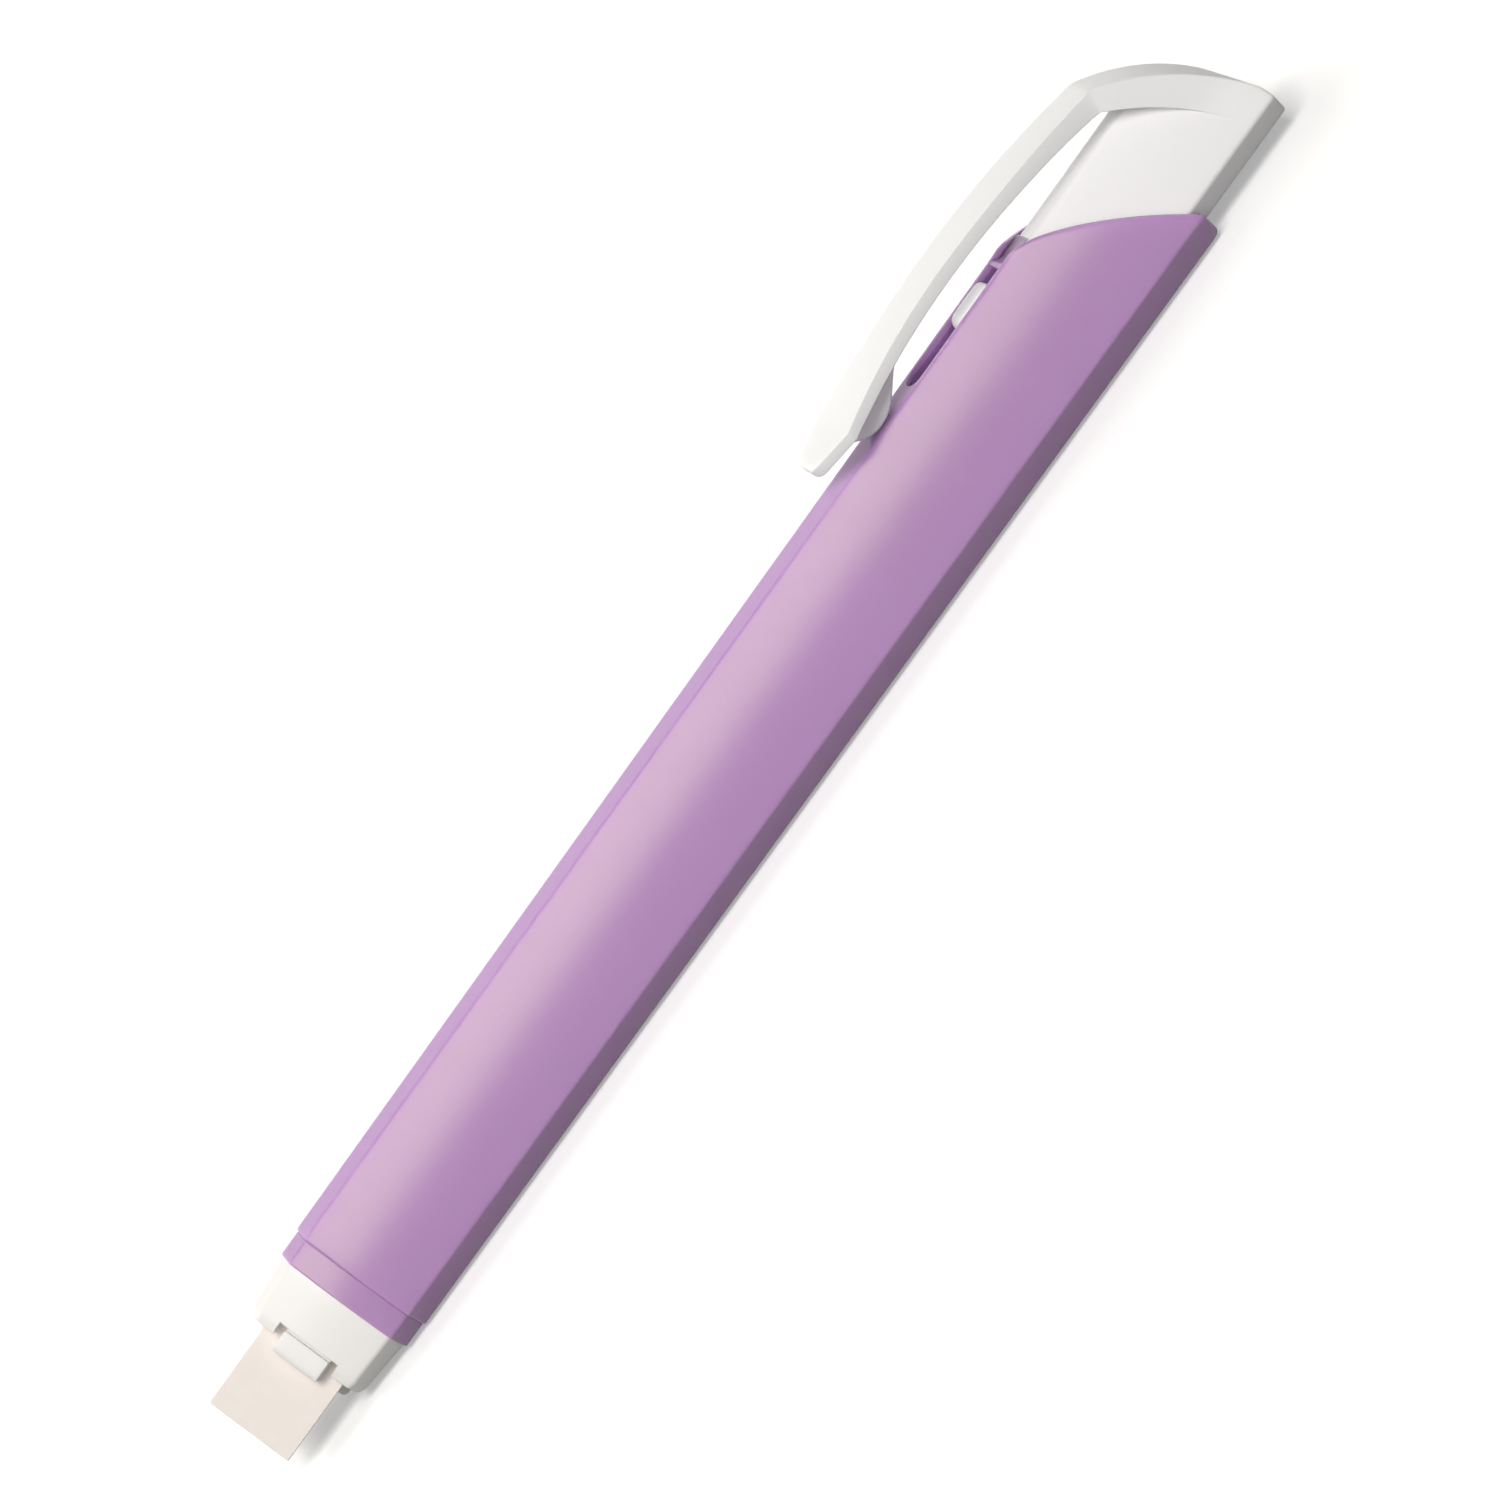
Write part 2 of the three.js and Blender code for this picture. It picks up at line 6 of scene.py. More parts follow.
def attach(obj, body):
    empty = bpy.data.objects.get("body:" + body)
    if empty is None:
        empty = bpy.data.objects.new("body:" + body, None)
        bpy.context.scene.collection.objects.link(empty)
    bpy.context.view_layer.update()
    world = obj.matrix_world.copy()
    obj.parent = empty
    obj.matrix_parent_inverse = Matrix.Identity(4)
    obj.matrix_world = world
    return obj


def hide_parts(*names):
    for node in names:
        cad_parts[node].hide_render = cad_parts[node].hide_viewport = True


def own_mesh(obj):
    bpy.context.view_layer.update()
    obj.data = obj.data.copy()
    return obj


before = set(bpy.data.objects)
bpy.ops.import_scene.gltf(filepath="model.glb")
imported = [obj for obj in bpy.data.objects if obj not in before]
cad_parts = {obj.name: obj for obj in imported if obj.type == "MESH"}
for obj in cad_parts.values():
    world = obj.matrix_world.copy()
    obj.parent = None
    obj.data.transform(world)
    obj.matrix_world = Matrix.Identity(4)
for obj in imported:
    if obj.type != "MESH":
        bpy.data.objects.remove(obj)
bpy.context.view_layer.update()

# A push-button eraser holder: a three-sided barrel, three jaws round a triangular eraser stick,
# and a push cap with a pocket clip, pressed against a return spring.
# Sizes are millimetres along the holder: x from the front face of the nose to the push cap, z to
# the clip. A section is given by its distances from the axis to a wide side (face) and to a narrow
# flat (corner), and by how far the rounding of its edges reaches (edge).
# In a table of rows, the places without a name only carry a surface on between the named ones.

# Eraser stick and its passage
ERASER_FACE, ERASER_CORNER, ERASER_EDGE = 2.3816, 4.67, 0.04
ERASER_FRONT, ERASER_LENGTH = -7.9, 76.0
PASSAGE_FACE, PASSAGE_CORNER, PASSAGE_EDGE = 2.6316, 5.0131, 0.06

# Barrel
BARREL_FACE, BARREL_CORNER, BARREL_EDGE = 4.6216, 6.8931, 0.2
BORE_FACE, BORE_CORNER, BORE_EDGE = 3.7316, 6.1131, 0.15
SIDE_RISE, SIDE_FACETS = 0.45, 7
FLARE_DEPTH = 0.39
BARREL_FRONT, BAND_END, BARREL_END = 5.45, 7.8, 118.75
BAND_INSET = 0.15
SOCKET_WALL, SOCKET_END, SOCKET_EDGE = 0.62, 13.8, 0.25
SEAT_X = 79.3
REAR_SIDE_WALL, REAR_CORNER_WALL, REAR_EDGE, BORE_LIFT = 0.65, 0.9, 0.08, 0.4
SLOPE_RUN, SLOPE_LOW = 12.0, -2.4
GENTLE_RUN, GENTLE_DROP, STEEP_RUN, STEEP_RISE = 3.25, 0.325, 3.45, 4.9
SLOT_FRONT, SLOT_REAR, SLOT_HALF = 93.4, 105.5, 1.15
RAMP_X, RAMP_RUN, RAMP_DROP, RAMP_UNDER, RAMP_WALL = 105.8, 4.0, 0.58, 0.2, 0.1

# Nose and jaws
NOSE_SHOULDER, NOSE_EDGE = 5.44, 0.25
NOSE_FRONT_INSET, NOSE_REAR_INSET = 0.78, 0.38
NOSE_BEVEL, NOSE_BEVEL_LENGTH = 0.25, 0.7
NOTCH_HALF, NOTCH_DEPTH, NOTCH_REACH = 2.975, 1.1, 2.0
CHANNEL_HALF, MOUTH_FACE, CHANNEL_FACE, CHANNEL_START = 2.55, 3.7016, 3.8516, 2.1
SPIGOT_END, SPIGOT_INSET, SPIGOT_EDGE = 13.5, 0.72, 0.2
JAW_FRONT, JAW_HEAD_BACK, JAW_HALF, JAW_ROUND = -1.15, 0.8, 2.25, 0.12
JAW_GRIP, JAW_HEAD, JAW_WEDGE, JAW_ARM = 2.4816, 4.0016, 3.5516, 3.3316
HOOK_FRONT, HOOK_REAR, HOOK_HALF = 20.55, 21.75, 3.0

# Push cap and clip
SKIRT_FRONT, CAP_END, CAVITY_END, BOSS_FRONT = 95.6, 130.05, 121.05, 108.05
CAP_GAP, CAP_WALL, CAP_RISE, CAP_EDGE, CAP_ROUND = 0.25, 0.9, 0.25, 0.28, 0.3
BOSS_RADIUS, BOSS_BORE = 2.8, 2.1
LID_START, LID_LOW, LID_RADIUS = 122.0, -0.6, 22.0
RIM_FOOT, RIM_DEPTH, RIM_HALF, RIM_LEAN, RIM_SOFT = -2.0, 3.4, 2.05, 0.255, 0.14
ELBOW_X, ELBOW_Z, ELBOW_THICKNESS, ELBOW_HALF = 121.45, 10.3531, 2.0, 2.1
TIP_X, TIP_Z, TIP_THICKNESS, TIP_ROUND = 82.9, 10.5831, 1.2, 1.1
TIP_HALF, TIP_CORNER_HALF = 2.25, 2.5
CROWN_X, CROWN_Z, CROWN_PULL = 102.15, 12.0031, 6.0
CLIP_THICKNESS, CLIP_ROUND = 1.35, 0.13
ARM_HALF, ARM_NARROWS = 2.5, 111.8
FLARE_X, FLARE_Z, FLARE_HALF, FLARE_PULL, FLARE_RUN = 87.2, 10.8031, 3.8, 5.0, 15.0
FOOT_REACH, FOOT_GAP, FOOT_HALF, FOOT_ROUND = 6.65, 0.22, 1.35, 0.4
LATCH_FRONT, LATCH_REAR, LATCH_PROUD = 99.6, 104.0, 0.12
LATCH_ROUND, LATCH_CROWN, LATCH_ROOT = 0.15, 0.08, 0.75
TONGUE_RECESS, TONGUE_ROOT = 0.5, 106.0

# Return spring
SPRING_LENGTH, SPRING_WIRE, SPRING_TURNS = 16.3, 0.6, 8
SPRING_GAP, SPRING_END_GAP, SPRING_CLOSE = 0.3, 0.15, 1.05

# The holder lies on its lower wide side, turned by the barrel's flare
TILT = np.arctan(FLARE_DEPTH / (BARREL_END - BAND_END))
MOVE_X, MOVE_Z = -61.0746227, 5.0349373

COS30 = np.sqrt(3) / 2
SHARP_ANGLE = np.radians(38)


def to_row(points):
    """Points along the holder in mm, turned by the tilt about y, moved to rest, in metres."""
    x, y, z = np.moveaxis(np.asarray(points, float), -1, 0)
    row_x = x * np.cos(TILT) - z * np.sin(TILT) + MOVE_X
    row_z = x * np.sin(TILT) + z * np.cos(TILT) + MOVE_Z
    return np.stack([row_x, y, row_z], -1) / 1000


def flare(x):
    """Widening of the barrel at x: a straight line from its front band to its rear end."""
    return FLARE_DEPTH * (x - BAND_END) / (BARREL_END - BAND_END)


def ease(t):
    """A soft step from 0 to 1: 3 t squared less 2 t cubed, held outside 0 to 1."""
    t = np.clip(t, 0, 1)
    return t * t * (3 - 2 * t)


def bend(points, t):
    """A Bezier curve at parameters t: neighbouring control points are mixed until one is left."""
    rows = np.asarray(points, float)[:, None]
    while len(rows) > 1:
        rows = rows[:-1] * (1 - t)[:, None] + rows[1:] * t[:, None]
    return rows[0]


def smoothed(values, reach):
    """Each value averaged with `reach` neighbours on both sides, weighted by a raised cosine."""
    window = np.hanning(2 * reach + 1)
    return np.convolve(np.pad(values, reach, mode="edge"), window / window.sum(), mode="valid")


def spread(fixed, steps, reach):
    """Places across a side: fixed ones, plus steps of what is left to the reach.

    Fixed places that do not fit are shrunk to 0.95 of the reach.
    """
    held = fixed * np.minimum(1, 0.95 * reach / max(fixed.max(), 1e-9))
    return held + steps * (reach - held.max(axis=-1, keepdims=True))


# Places across a wide side and a flat, as fixed millimetres plus shares of the rest.
# The barrel's flat has the slot's arc in its middle.
WIDE = (np.zeros(25), np.linspace(-1, 1, 25))
PLAIN_FLAT = (np.zeros(5), np.linspace(-1, 1, 5))
SLOT_ARC = np.radians(np.linspace(-90, 90, 9))
SLOT_ACROSS = SLOT_HALF * np.sin(SLOT_ARC)
BESIDE = np.array([0.5, 1.0])
SLOT_FLAT = (
    np.concatenate([np.full(len(BESIDE), -SLOT_HALF), SLOT_ACROSS, np.full(len(BESIDE), SLOT_HALF)]),
    np.concatenate([-BESIDE[::-1], np.zeros(len(SLOT_ACROSS)), BESIDE]),
)
CORNER_STEPS = np.array([0.2, 0.4, 0.6, 0.8])


def outline(face, corner, rise, edge, wide=WIDE, flat=PLAIN_FLAT, raised=0.0):
    """Sections across the holder, one row each, as y and z.

    A wide side is a parabola that stands `rise` above its edges at its middle, a flat is straight,
    and the edge between them is a quadratic curve that starts `edge` before the corner and ends
    `edge` after it. One third is worked out in its own out-and-along frame and turned to 30, 150
    and 270 degrees. `raised` moves points of the wide sides outwards.
    """
    sizes = (face, corner, rise, edge)
    face, corner, rise, edge = (np.atleast_1d(np.asarray(v, float))[:, None] for v in sizes)
    rows = max(len(face), len(corner))
    half = (corner - face / 2) / COS30
    flat_half = (face - corner / 2) / COS30
    along = spread(wide[0], wide[1], half - edge)
    out = face + rise * (1 - (along / half) ** 2)
    side = np.stack([out + raised, along])
    across = spread(flat[0], flat[1], flat_half - edge)
    level = np.stack([corner / 2 - COS30 * across, COS30 * corner + across / 2])
    first = np.stack([face + 0 * half, half])
    second = np.stack([corner / 2 - COS30 * flat_half, COS30 * corner + flat_half / 2])
    start = side[..., :1]
    following = np.stack([-start[0] / 2 - COS30 * start[1], COS30 * start[0] - start[1] / 2])
    t = CORNER_STEPS
    round_one = (1 - t) ** 2 * side[..., -1:] + 2 * t * (1 - t) * first + t**2 * level[..., :1]
    round_two = (1 - t) ** 2 * level[..., -1:] + 2 * t * (1 - t) * second + t**2 * following
    third = np.concatenate([side, round_one, level, round_two], axis=-1)
    turns = np.radians([30, 150, 270])[:, None, None]
    y = third[0] * np.cos(turns) - third[1] * np.sin(turns)
    z = third[0] * np.sin(turns) + third[1] * np.cos(turns)
    thirds = [np.concatenate(list(v), -1) for v in (y, z)]
    return np.stack(thirds, -1).reshape(rows, -1, 2)


def along_x(x, sections):
    """Rings of points: each section set at its x, one x per row or per point."""
    x = np.asarray(x, float)
    x = np.broadcast_to(x[:, None] if x.ndim == 1 else x, sections.shape[:2])
    return np.concatenate([x[..., None], sections], -1)


def quads(rows, points, wrap):
    """Faces of a grid closed around, and closed from its last row to its first where it wraps."""
    row = np.arange(rows if wrap else rows - 1)[:, None]
    point = np.arange(points)[None, :]
    here, below = row * points, (row + 1) % rows * points
    beside = (point + 1) % points
    return np.stack([here + point, here + beside, below + beside, below + point], -1)


def fan(start, points, middle):
    """Triangles from each side of one ring to a middle point."""
    point = np.arange(points)
    return np.stack([start + (point + 1) % points, start + point, np.full(points, middle)], -1)


def volume(points, faces):
    """Signed volume in faces of three or four corners: the sum of the tetrahedra to the origin."""
    corners = points[faces]
    total = np.einsum("ij,ij->", corners[:, 0], np.cross(corners[:, 1], corners[:, 2]))
    if faces.shape[1] == 4:
        total += np.einsum("ij,ij->", corners[:, 0], np.cross(corners[:, 2], corners[:, 3]))
    return total / 6


def make_piece(name, points, face_sets, material, body, slot, node):
    """A mesh piece with its faces outward, smooth up to the sharp angle, riding a body.

    It takes the material it is given, and stands for a node of the frame. Its slot is not used.
    """
    points = to_row(points)
    if sum(volume(points, faces) for faces in face_sets) < 0:
        face_sets = [faces[:, ::-1] for faces in face_sets]
    mesh = bpy.data.meshes.new(name)
    mesh.from_pydata(points.tolist(), [], sum((faces.tolist() for faces in face_sets), []))
    mesh.polygons.foreach_set("use_smooth", np.ones(len(mesh.polygons), bool))
    mesh.set_sharp_from_angle(angle=SHARP_ANGLE)
    mesh.materials.append(material)
    mesh.update()
    piece = bpy.data.objects.new(name, mesh)
    bpy.context.scene.collection.objects.link(piece)
    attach(piece, body)
    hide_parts(node)
    return piece


def closed_loop(rings):
    """Points and faces of rings whose last row joins the first: a wall with two sides."""
    rows, points = rings.shape[:2]
    return rings.reshape(-1, 3), [quads(rows, points, True).reshape(-1, 4)]


def closed_ends(rings):
    """Points and faces of rings with a fan to the middle at each end."""
    rows, points = rings.shape[:2]
    count = rows * points
    middles = rings[[0, -1]].mean(axis=1)
    verts = np.concatenate([rings.reshape(-1, 3), middles])
    ends = np.concatenate([fan(0, points, count), fan(count - points, points, count + 1)[:, ::-1]])
    return verts, [quads(rows, points, False).reshape(-1, 4), ends]


# Section of a bar, point by point: the sign of its core corner and the direction of its rounding,
# through the bar and across it
ARC = np.radians(np.linspace(0, 90, 6))
SIN, COS, ROUND = np.sin(ARC), np.cos(ARC), np.ones(len(ARC))
SPAN = np.linspace(1, -1, 9)[1:-1]
FULL, NONE = np.ones(len(SPAN)), np.zeros(len(SPAN))
BAR_CORE_IN = np.concatenate([ROUND, FULL, ROUND, -ROUND, -FULL, -ROUND])
BAR_CORE_ACROSS = np.concatenate([ROUND, SPAN, -ROUND, -ROUND, -SPAN, ROUND])
BAR_ROUND_IN = np.concatenate([SIN, FULL, COS, -SIN, -FULL, -COS])
BAR_ROUND_ACROSS = np.concatenate([COS, NONE, -SIN, -COS, NONE, SIN])


def bar(inner, outer, half, radius, crown=0.0):
    """Rings of a bar between an inner and an outer curve in x and z.

    Its section is a rectangle as thick as the curves are apart and twice `half` across, with
    corners of one radius, and its outer face falls by `crown` times the square of the share
    across. `half` may differ between the inner and the outer edge.
    """
    inner, outer = np.asarray(inner, float), np.asarray(outer, float)
    half = np.asarray(half, float)
    half = half if half.ndim == 2 else np.stack([half, half], -1)
    crown = np.broadcast_to(np.asarray(crown, float), len(inner))[:, None]
    thick = np.linalg.norm(outer - inner, axis=1)[:, None]
    radius = np.minimum(radius, 0.45 * thick)
    through = BAR_CORE_IN * (thick / 2 - radius) + radius * BAR_ROUND_IN
    share = through / thick + 0.5
    width = half[:, :1] + (half[:, 1:] - half[:, :1]) * share
    across = BAR_CORE_ACROSS * (width - radius) + radius * BAR_ROUND_ACROSS
    through = through - crown * (across / width) ** 2 * share
    middle = (inner + outer) / 2
    direction = (outer - inner) / thick
    x = middle[:, :1] + direction[:, :1] * through
    z = middle[:, 1:] + direction[:, 1:] * through
    return np.stack([x, across, z], -1)


# Finishes. Noises are in waves a metre, depths in metres.

def finish(name):
    """A material with its shader and a source of Object coordinates."""
    material = bpy.data.materials.new(name)
    material.use_nodes = True
    tree = material.node_tree
    shader = tree.nodes["Principled BSDF"]
    place = tree.nodes.new("ShaderNodeTexCoord").outputs["Object"]
    return material, tree, shader, place


def noise(tree, place, scale, detail=2.0, stretch=None):
    """A noise on the place, drawn out along x where a stretch is given."""
    if stretch:
        mapping = tree.nodes.new("ShaderNodeMapping")
        mapping.inputs["Scale"].default_value = (stretch, 1, 1)
        tree.links.new(place, mapping.inputs["Vector"])
        place = mapping.outputs["Vector"]
    node = tree.nodes.new("ShaderNodeTexNoise")
    node.inputs["Scale"].default_value = scale
    node.inputs["Detail"].default_value = detail
    tree.links.new(place, node.inputs["Vector"])
    return node.outputs["Fac"]


def ramp(tree, value, low, high, dark, light):
    """A colour that goes from dark to light as the value goes from low to high."""
    node = tree.nodes.new("ShaderNodeValToRGB")
    node.color_ramp.elements[0].position = low
    node.color_ramp.elements[0].color = (*dark, 1)
    node.color_ramp.elements[1].position = high
    node.color_ramp.elements[1].color = (*light, 1)
    tree.links.new(value, node.inputs["Fac"])
    return node.outputs["Color"]


def ranged(tree, value, low, high, start=0.3, stop=0.7):
    """The value between start and stop, by default the middle part of a noise, carried to low to high."""
    node = tree.nodes.new("ShaderNodeMapRange")
    node.inputs["From Min"].default_value = start
    node.inputs["From Max"].default_value = stop
    node.inputs["To Min"].default_value = low
    node.inputs["To Max"].default_value = high
    tree.links.new(value, node.inputs["Value"])
    return node.outputs["Result"]


def bump(tree, height, strength, distance, shader, under=None):
    """A bump of the height field on the shader's normal, over another bump where one is given."""
    node = tree.nodes.new("ShaderNodeBump")
    node.inputs["Strength"].default_value = strength
    node.inputs["Distance"].default_value = distance
    tree.links.new(height, node.inputs["Height"])
    if under:
        tree.links.new(under, node.inputs["Normal"])
    tree.links.new(node.outputs["Normal"], shader.inputs["Normal"])
    return node.outputs["Normal"]


# Depths of a moulding's skin, of the light in it, of the vinyl's skin and of the wire's marks
MOULD_DEPTH, LIGHT_DEPTH, VINYL_DEPTH, WIRE_DEPTH = 0.00001, 0.0016, 0.00004, 0.00002


def moulded_plastic(name, dark, light, smooth, rough, grain, flow, gloss=0.5, tint=(1, 1, 1), glow=0.0):
    """Injection-moulded plastic: a slow drift between two near tones along the flow of the melt,
    gloss between a smooth and a rough value, a fine skin, and light that spreads below it."""
    material, tree, shader, place = finish(name)
    drift = noise(tree, place, flow, 1.0, stretch=0.35)
    tree.links.new(ramp(tree, drift, 0.35, 0.65, dark, light), shader.inputs["Base Color"])
    uneven = ranged(tree, noise(tree, place, 700), smooth, rough)
    tree.links.new(uneven, shader.inputs["Roughness"])
    bump(tree, noise(tree, place, 2200, 1.0), grain, MOULD_DEPTH, shader)
    shader.inputs["Specular IOR Level"].default_value = gloss
    shader.inputs["Specular Tint"].default_value = (*tint, 1)
    shader.inputs["Subsurface Weight"].default_value = glow
    shader.inputs["Subsurface Radius"].default_value = (1, 1, 1)
    shader.inputs["Subsurface Scale"].default_value = LIGHT_DEPTH
    return material


def eraser_vinyl():
    """Soft vinyl: a matte, slightly mottled skin with a dusty sheen and fine drag lines along it."""
    material, tree, shader, place = finish("eraser vinyl")
    mottle = noise(tree, place, 700, 5.0)
    colour = ramp(tree, mottle, 0.3, 0.7, (0.815, 0.75, 0.712), (0.835, 0.772, 0.734))
    tree.links.new(colour, shader.inputs["Base Color"])
    matte = ranged(tree, noise(tree, place, 2500, 3.0), 0.7, 0.85)
    tree.links.new(matte, shader.inputs["Roughness"])
    drag = bump(tree, noise(tree, place, 3500, stretch=0.02), 0.12, VINYL_DEPTH, shader)
    bump(tree, noise(tree, place, 6000, 4.0), 0.25, VINYL_DEPTH, shader, drag)
    shader.inputs["Sheen Weight"].default_value = 0.15
    shader.inputs["Sheen Roughness"].default_value = 0.5
    return material


def spring_steel():
    """Drawn wire: bright metal with a slightly uneven tone and fine marks on it."""
    material, tree, shader, place = finish("spring steel")
    tone = noise(tree, place, 1500, 3.0)
    colour = ramp(tree, tone, 0.3, 0.7, (0.42, 0.43, 0.45), (0.58, 0.59, 0.61))
    tree.links.new(colour, shader.inputs["Base Color"])
    tree.links.new(ranged(tree, noise(tree, place, 5000), 0.29, 0.38), shader.inputs["Roughness"])
    bump(tree, noise(tree, place, 12000), 0.1, WIRE_DEPTH, shader)
    shader.inputs["Metallic"].default_value = 1.0
    return material


LILAC = moulded_plastic(
    "lilac plastic", dark=(0.462, 0.267, 0.54), light=(0.476, 0.277, 0.554),
    smooth=0.25, rough=0.27, grain=0.02, flow=60, gloss=0.38, tint=(1, 1, 0.66), glow=1.0)
WHITE_NOSE = moulded_plastic(
    "white nose plastic", dark=(0.8, 0.79, 0.775), light=(0.82, 0.81, 0.795),
    smooth=0.30, rough=0.34, grain=0.03, flow=90, gloss=0.3)
WHITE_JAW = moulded_plastic(
    "white jaw plastic", dark=(0.79, 0.78, 0.775), light=(0.81, 0.8, 0.795),
    smooth=0.32, rough=0.36, grain=0.03, flow=120, gloss=0.3)
WHITE_CAP = moulded_plastic(
    "white cap plastic", dark=(0.825, 0.82, 0.83), light=(0.845, 0.84, 0.85),
    smooth=0.40, rough=0.46, grain=0.03, flow=80, gloss=0.25)
NATURAL_TUBE = moulded_plastic(
    "tube plastic", dark=(0.74, 0.73, 0.71), light=(0.78, 0.77, 0.75),
    smooth=0.38, rough=0.48, grain=0.08, flow=70)
NATURAL_ROD = moulded_plastic(
    "rod plastic", dark=(0.71, 0.70, 0.68), light=(0.76, 0.75, 0.73),
    smooth=0.38, rough=0.48, grain=0.08, flow=90)
VINYL = eraser_vinyl()
STEEL = spring_steel()


# Barrel

def barrel_end_x(z):
    """Rear end of the barrel over height: a cubic curve down from the clip side, gentle and then
    steep, then square."""
    top = BARREL_CORNER + FLARE_DEPTH
    start = BARREL_END - SLOPE_RUN
    curve = bend([
        (start, top), (start + GENTLE_RUN, top - GENTLE_DROP),
        (BARREL_END - STEEP_RUN, SLOPE_LOW + STEEP_RISE), (BARREL_END, SLOPE_LOW),
    ], np.linspace(0, 1, 80))[::-1]
    return np.interp(z, curve[:, 1], curve[:, 0])


def follow_end(rings, start, end, end_at):
    """Stretches the rings behind `start` along x, so that the row at `end` follows end_at(z)."""
    x, z = rings[..., 0], rings[..., 2]
    share = np.clip((x - start) / (end - start), 0, None)
    rings[..., 0] = np.where(x > start, start + share * (end_at(z) - start), x)
    return rings


def make_barrel():
    """The barrel as one wall: down its outside, round its rear rim, back through bore and socket.

    Rows are pairs of a place along x and an inset from the outside. The slot is a gap in the top
    flat of both skins, with a rounded front, and walls stitched between the two edges. Behind it
    the outer skin falls in a ramp.
    """
    band = np.array([
        (0, 0.09), (0.005, 0.05), (0.03, 0.02), (0.08, 0.002), (0.17, 0), (1.15, 0), (2.15, 0),
        (2.25, 0.005), (2.28, 0.02), (2.295, 0.05),
    ]) + (BARREL_FRONT, BAND_INSET)
    step = np.array([
        (-0.03, 0.20), (-0.015, 0.14), (0.02, 0.06), (0.1, 0.012), (0.2, 0), (1, 0),
    ]) + (BAND_END, 0)
    rim = np.array([
        (-0.85, 0), (-0.6, 0.014), (-0.4, 0.05), (-0.23, 0.11), (-0.11, 0.19), (-0.03, 0.28), (0, 0.37),
    ]) + (BARREL_END, 0)
    front = np.concatenate([band, step])
    plain_rows = np.linspace(11, 91, 21)
    slot_rows = np.array([
        SLOT_FRONT - 0.7, SLOT_FRONT, 94.8, 96.5, 98.5, 100.5, 102.5, 104.2, SLOT_REAR, RAMP_X])
    ramp_rows = RAMP_X + np.array([0.7, 1.5, 2.3, 3.2, RAMP_RUN])
    body = np.concatenate([plain_rows, slot_rows, ramp_rows, [112, 115, 117.3]])
    x_out = np.concatenate([front[:, 0], body, rim[:, 0]])
    inset = np.concatenate([front[:, 1], np.zeros(len(body)), rim[:, 1]])
    outside = outline(BARREL_FACE + flare(x_out) - inset, BARREL_CORNER + flare(x_out) - inset,
                      SIDE_RISE, BARREL_EDGE, flat=SLOT_FLAT)

    bore_rear = np.concatenate([BARREL_END - np.array([0, 0.07, 0.25]), [117, 114, 111], ramp_rows[::-1]])
    x_bore = np.concatenate([bore_rear, slot_rows[::-1], [90, 85, SEAT_X]])
    wider = np.zeros(len(x_bore))
    wider[:2] = 0.08, 0.02
    bore = outline(BARREL_FACE + flare(x_bore) - REAR_SIDE_WALL + wider,
                   BARREL_CORNER + flare(x_bore) - REAR_CORNER_WALL + wider,
                   SIDE_RISE, REAR_EDGE, flat=SLOT_FLAT)
    bore[..., 1] += BORE_LIFT

    x_front = np.array([SEAT_X, 60, 40, 20, SOCKET_END])
    front_bore = outline(np.full(len(x_front), BORE_FACE), BORE_CORNER, 0, BORE_EDGE, flat=SLOT_FLAT)
    socket_rows = np.array([
        (SOCKET_END, 0), (10, 0), (6, 0), (BARREL_FRONT + 0.15, 0), (BARREL_FRONT + 0.05, 0.03),
        (BARREL_FRONT, 0.1),
    ])
    x_socket, wider = socket_rows.T
    narrow = flare(BARREL_FRONT) - SOCKET_WALL + wider
    socket = outline(BARREL_FACE + narrow, BARREL_CORNER + narrow, SIDE_RISE, SOCKET_EDGE, flat=SLOT_FLAT)

    rings = np.concatenate([
        along_x(x_out, outside), along_x(x_bore, bore), along_x(x_front, front_bore),
        along_x(x_socket, socket)])
    rows, points = rings.shape[:2]

    # The slot: its columns on the top flat, its rows outside and inside from front to rear
    first = len(WIDE[0]) + len(CORNER_STEPS) + len(BESIDE)
    columns = np.arange(first, first + len(SLOT_ACROSS))
    between = np.arange(1, len(slot_rows) - 1)
    out_rows = len(front) + len(plain_rows) + between
    in_rows = len(x_out) + len(bore_rear) + between[::-1]
    for row in (out_rows[0], in_rows[0]):
        rings[row, columns, 0] += SLOT_HALF - SLOT_HALF * np.cos(SLOT_ARC)

    # The ramp falls softly over its run, and stays above the bore, which falls less below it
    places = rings[:, columns, 0]
    heights = rings[:, columns, 2]
    share = ease((places - RAMP_X) / RAMP_RUN)
    inside = (np.arange(rows) >= len(x_out))[:, None]
    bore_top = BARREL_CORNER + flare(places) - REAR_CORNER_WALL + BORE_LIFT
    outer_z = np.maximum(heights - RAMP_DROP * share, bore_top - RAMP_UNDER * share + RAMP_WALL)
    lowered = np.where(inside, heights - RAMP_UNDER * share, outer_z)
    rings[:, columns, 2] = np.where(share > 0, lowered, heights)

    rings = follow_end(rings, RAMP_X, BARREL_END, barrel_end_x)
    faces = quads(rows, points, True)
    keep = np.ones(faces.shape[:2], bool)
    keep[np.ix_(np.arange(out_rows[0], out_rows[-1]), columns[:-1])] = False
    keep[np.ix_(np.arange(in_rows[-1], in_rows[0]), columns[:-1])] = False

    def edge_loop(slot_lines):
        """Points once round the slot on one skin."""
        grid = slot_lines[:, None] * points + columns[None, :]
        return np.concatenate([grid[0, :-1], grid[:-1, -1], grid[-1, :0:-1], grid[:0:-1, 0]])

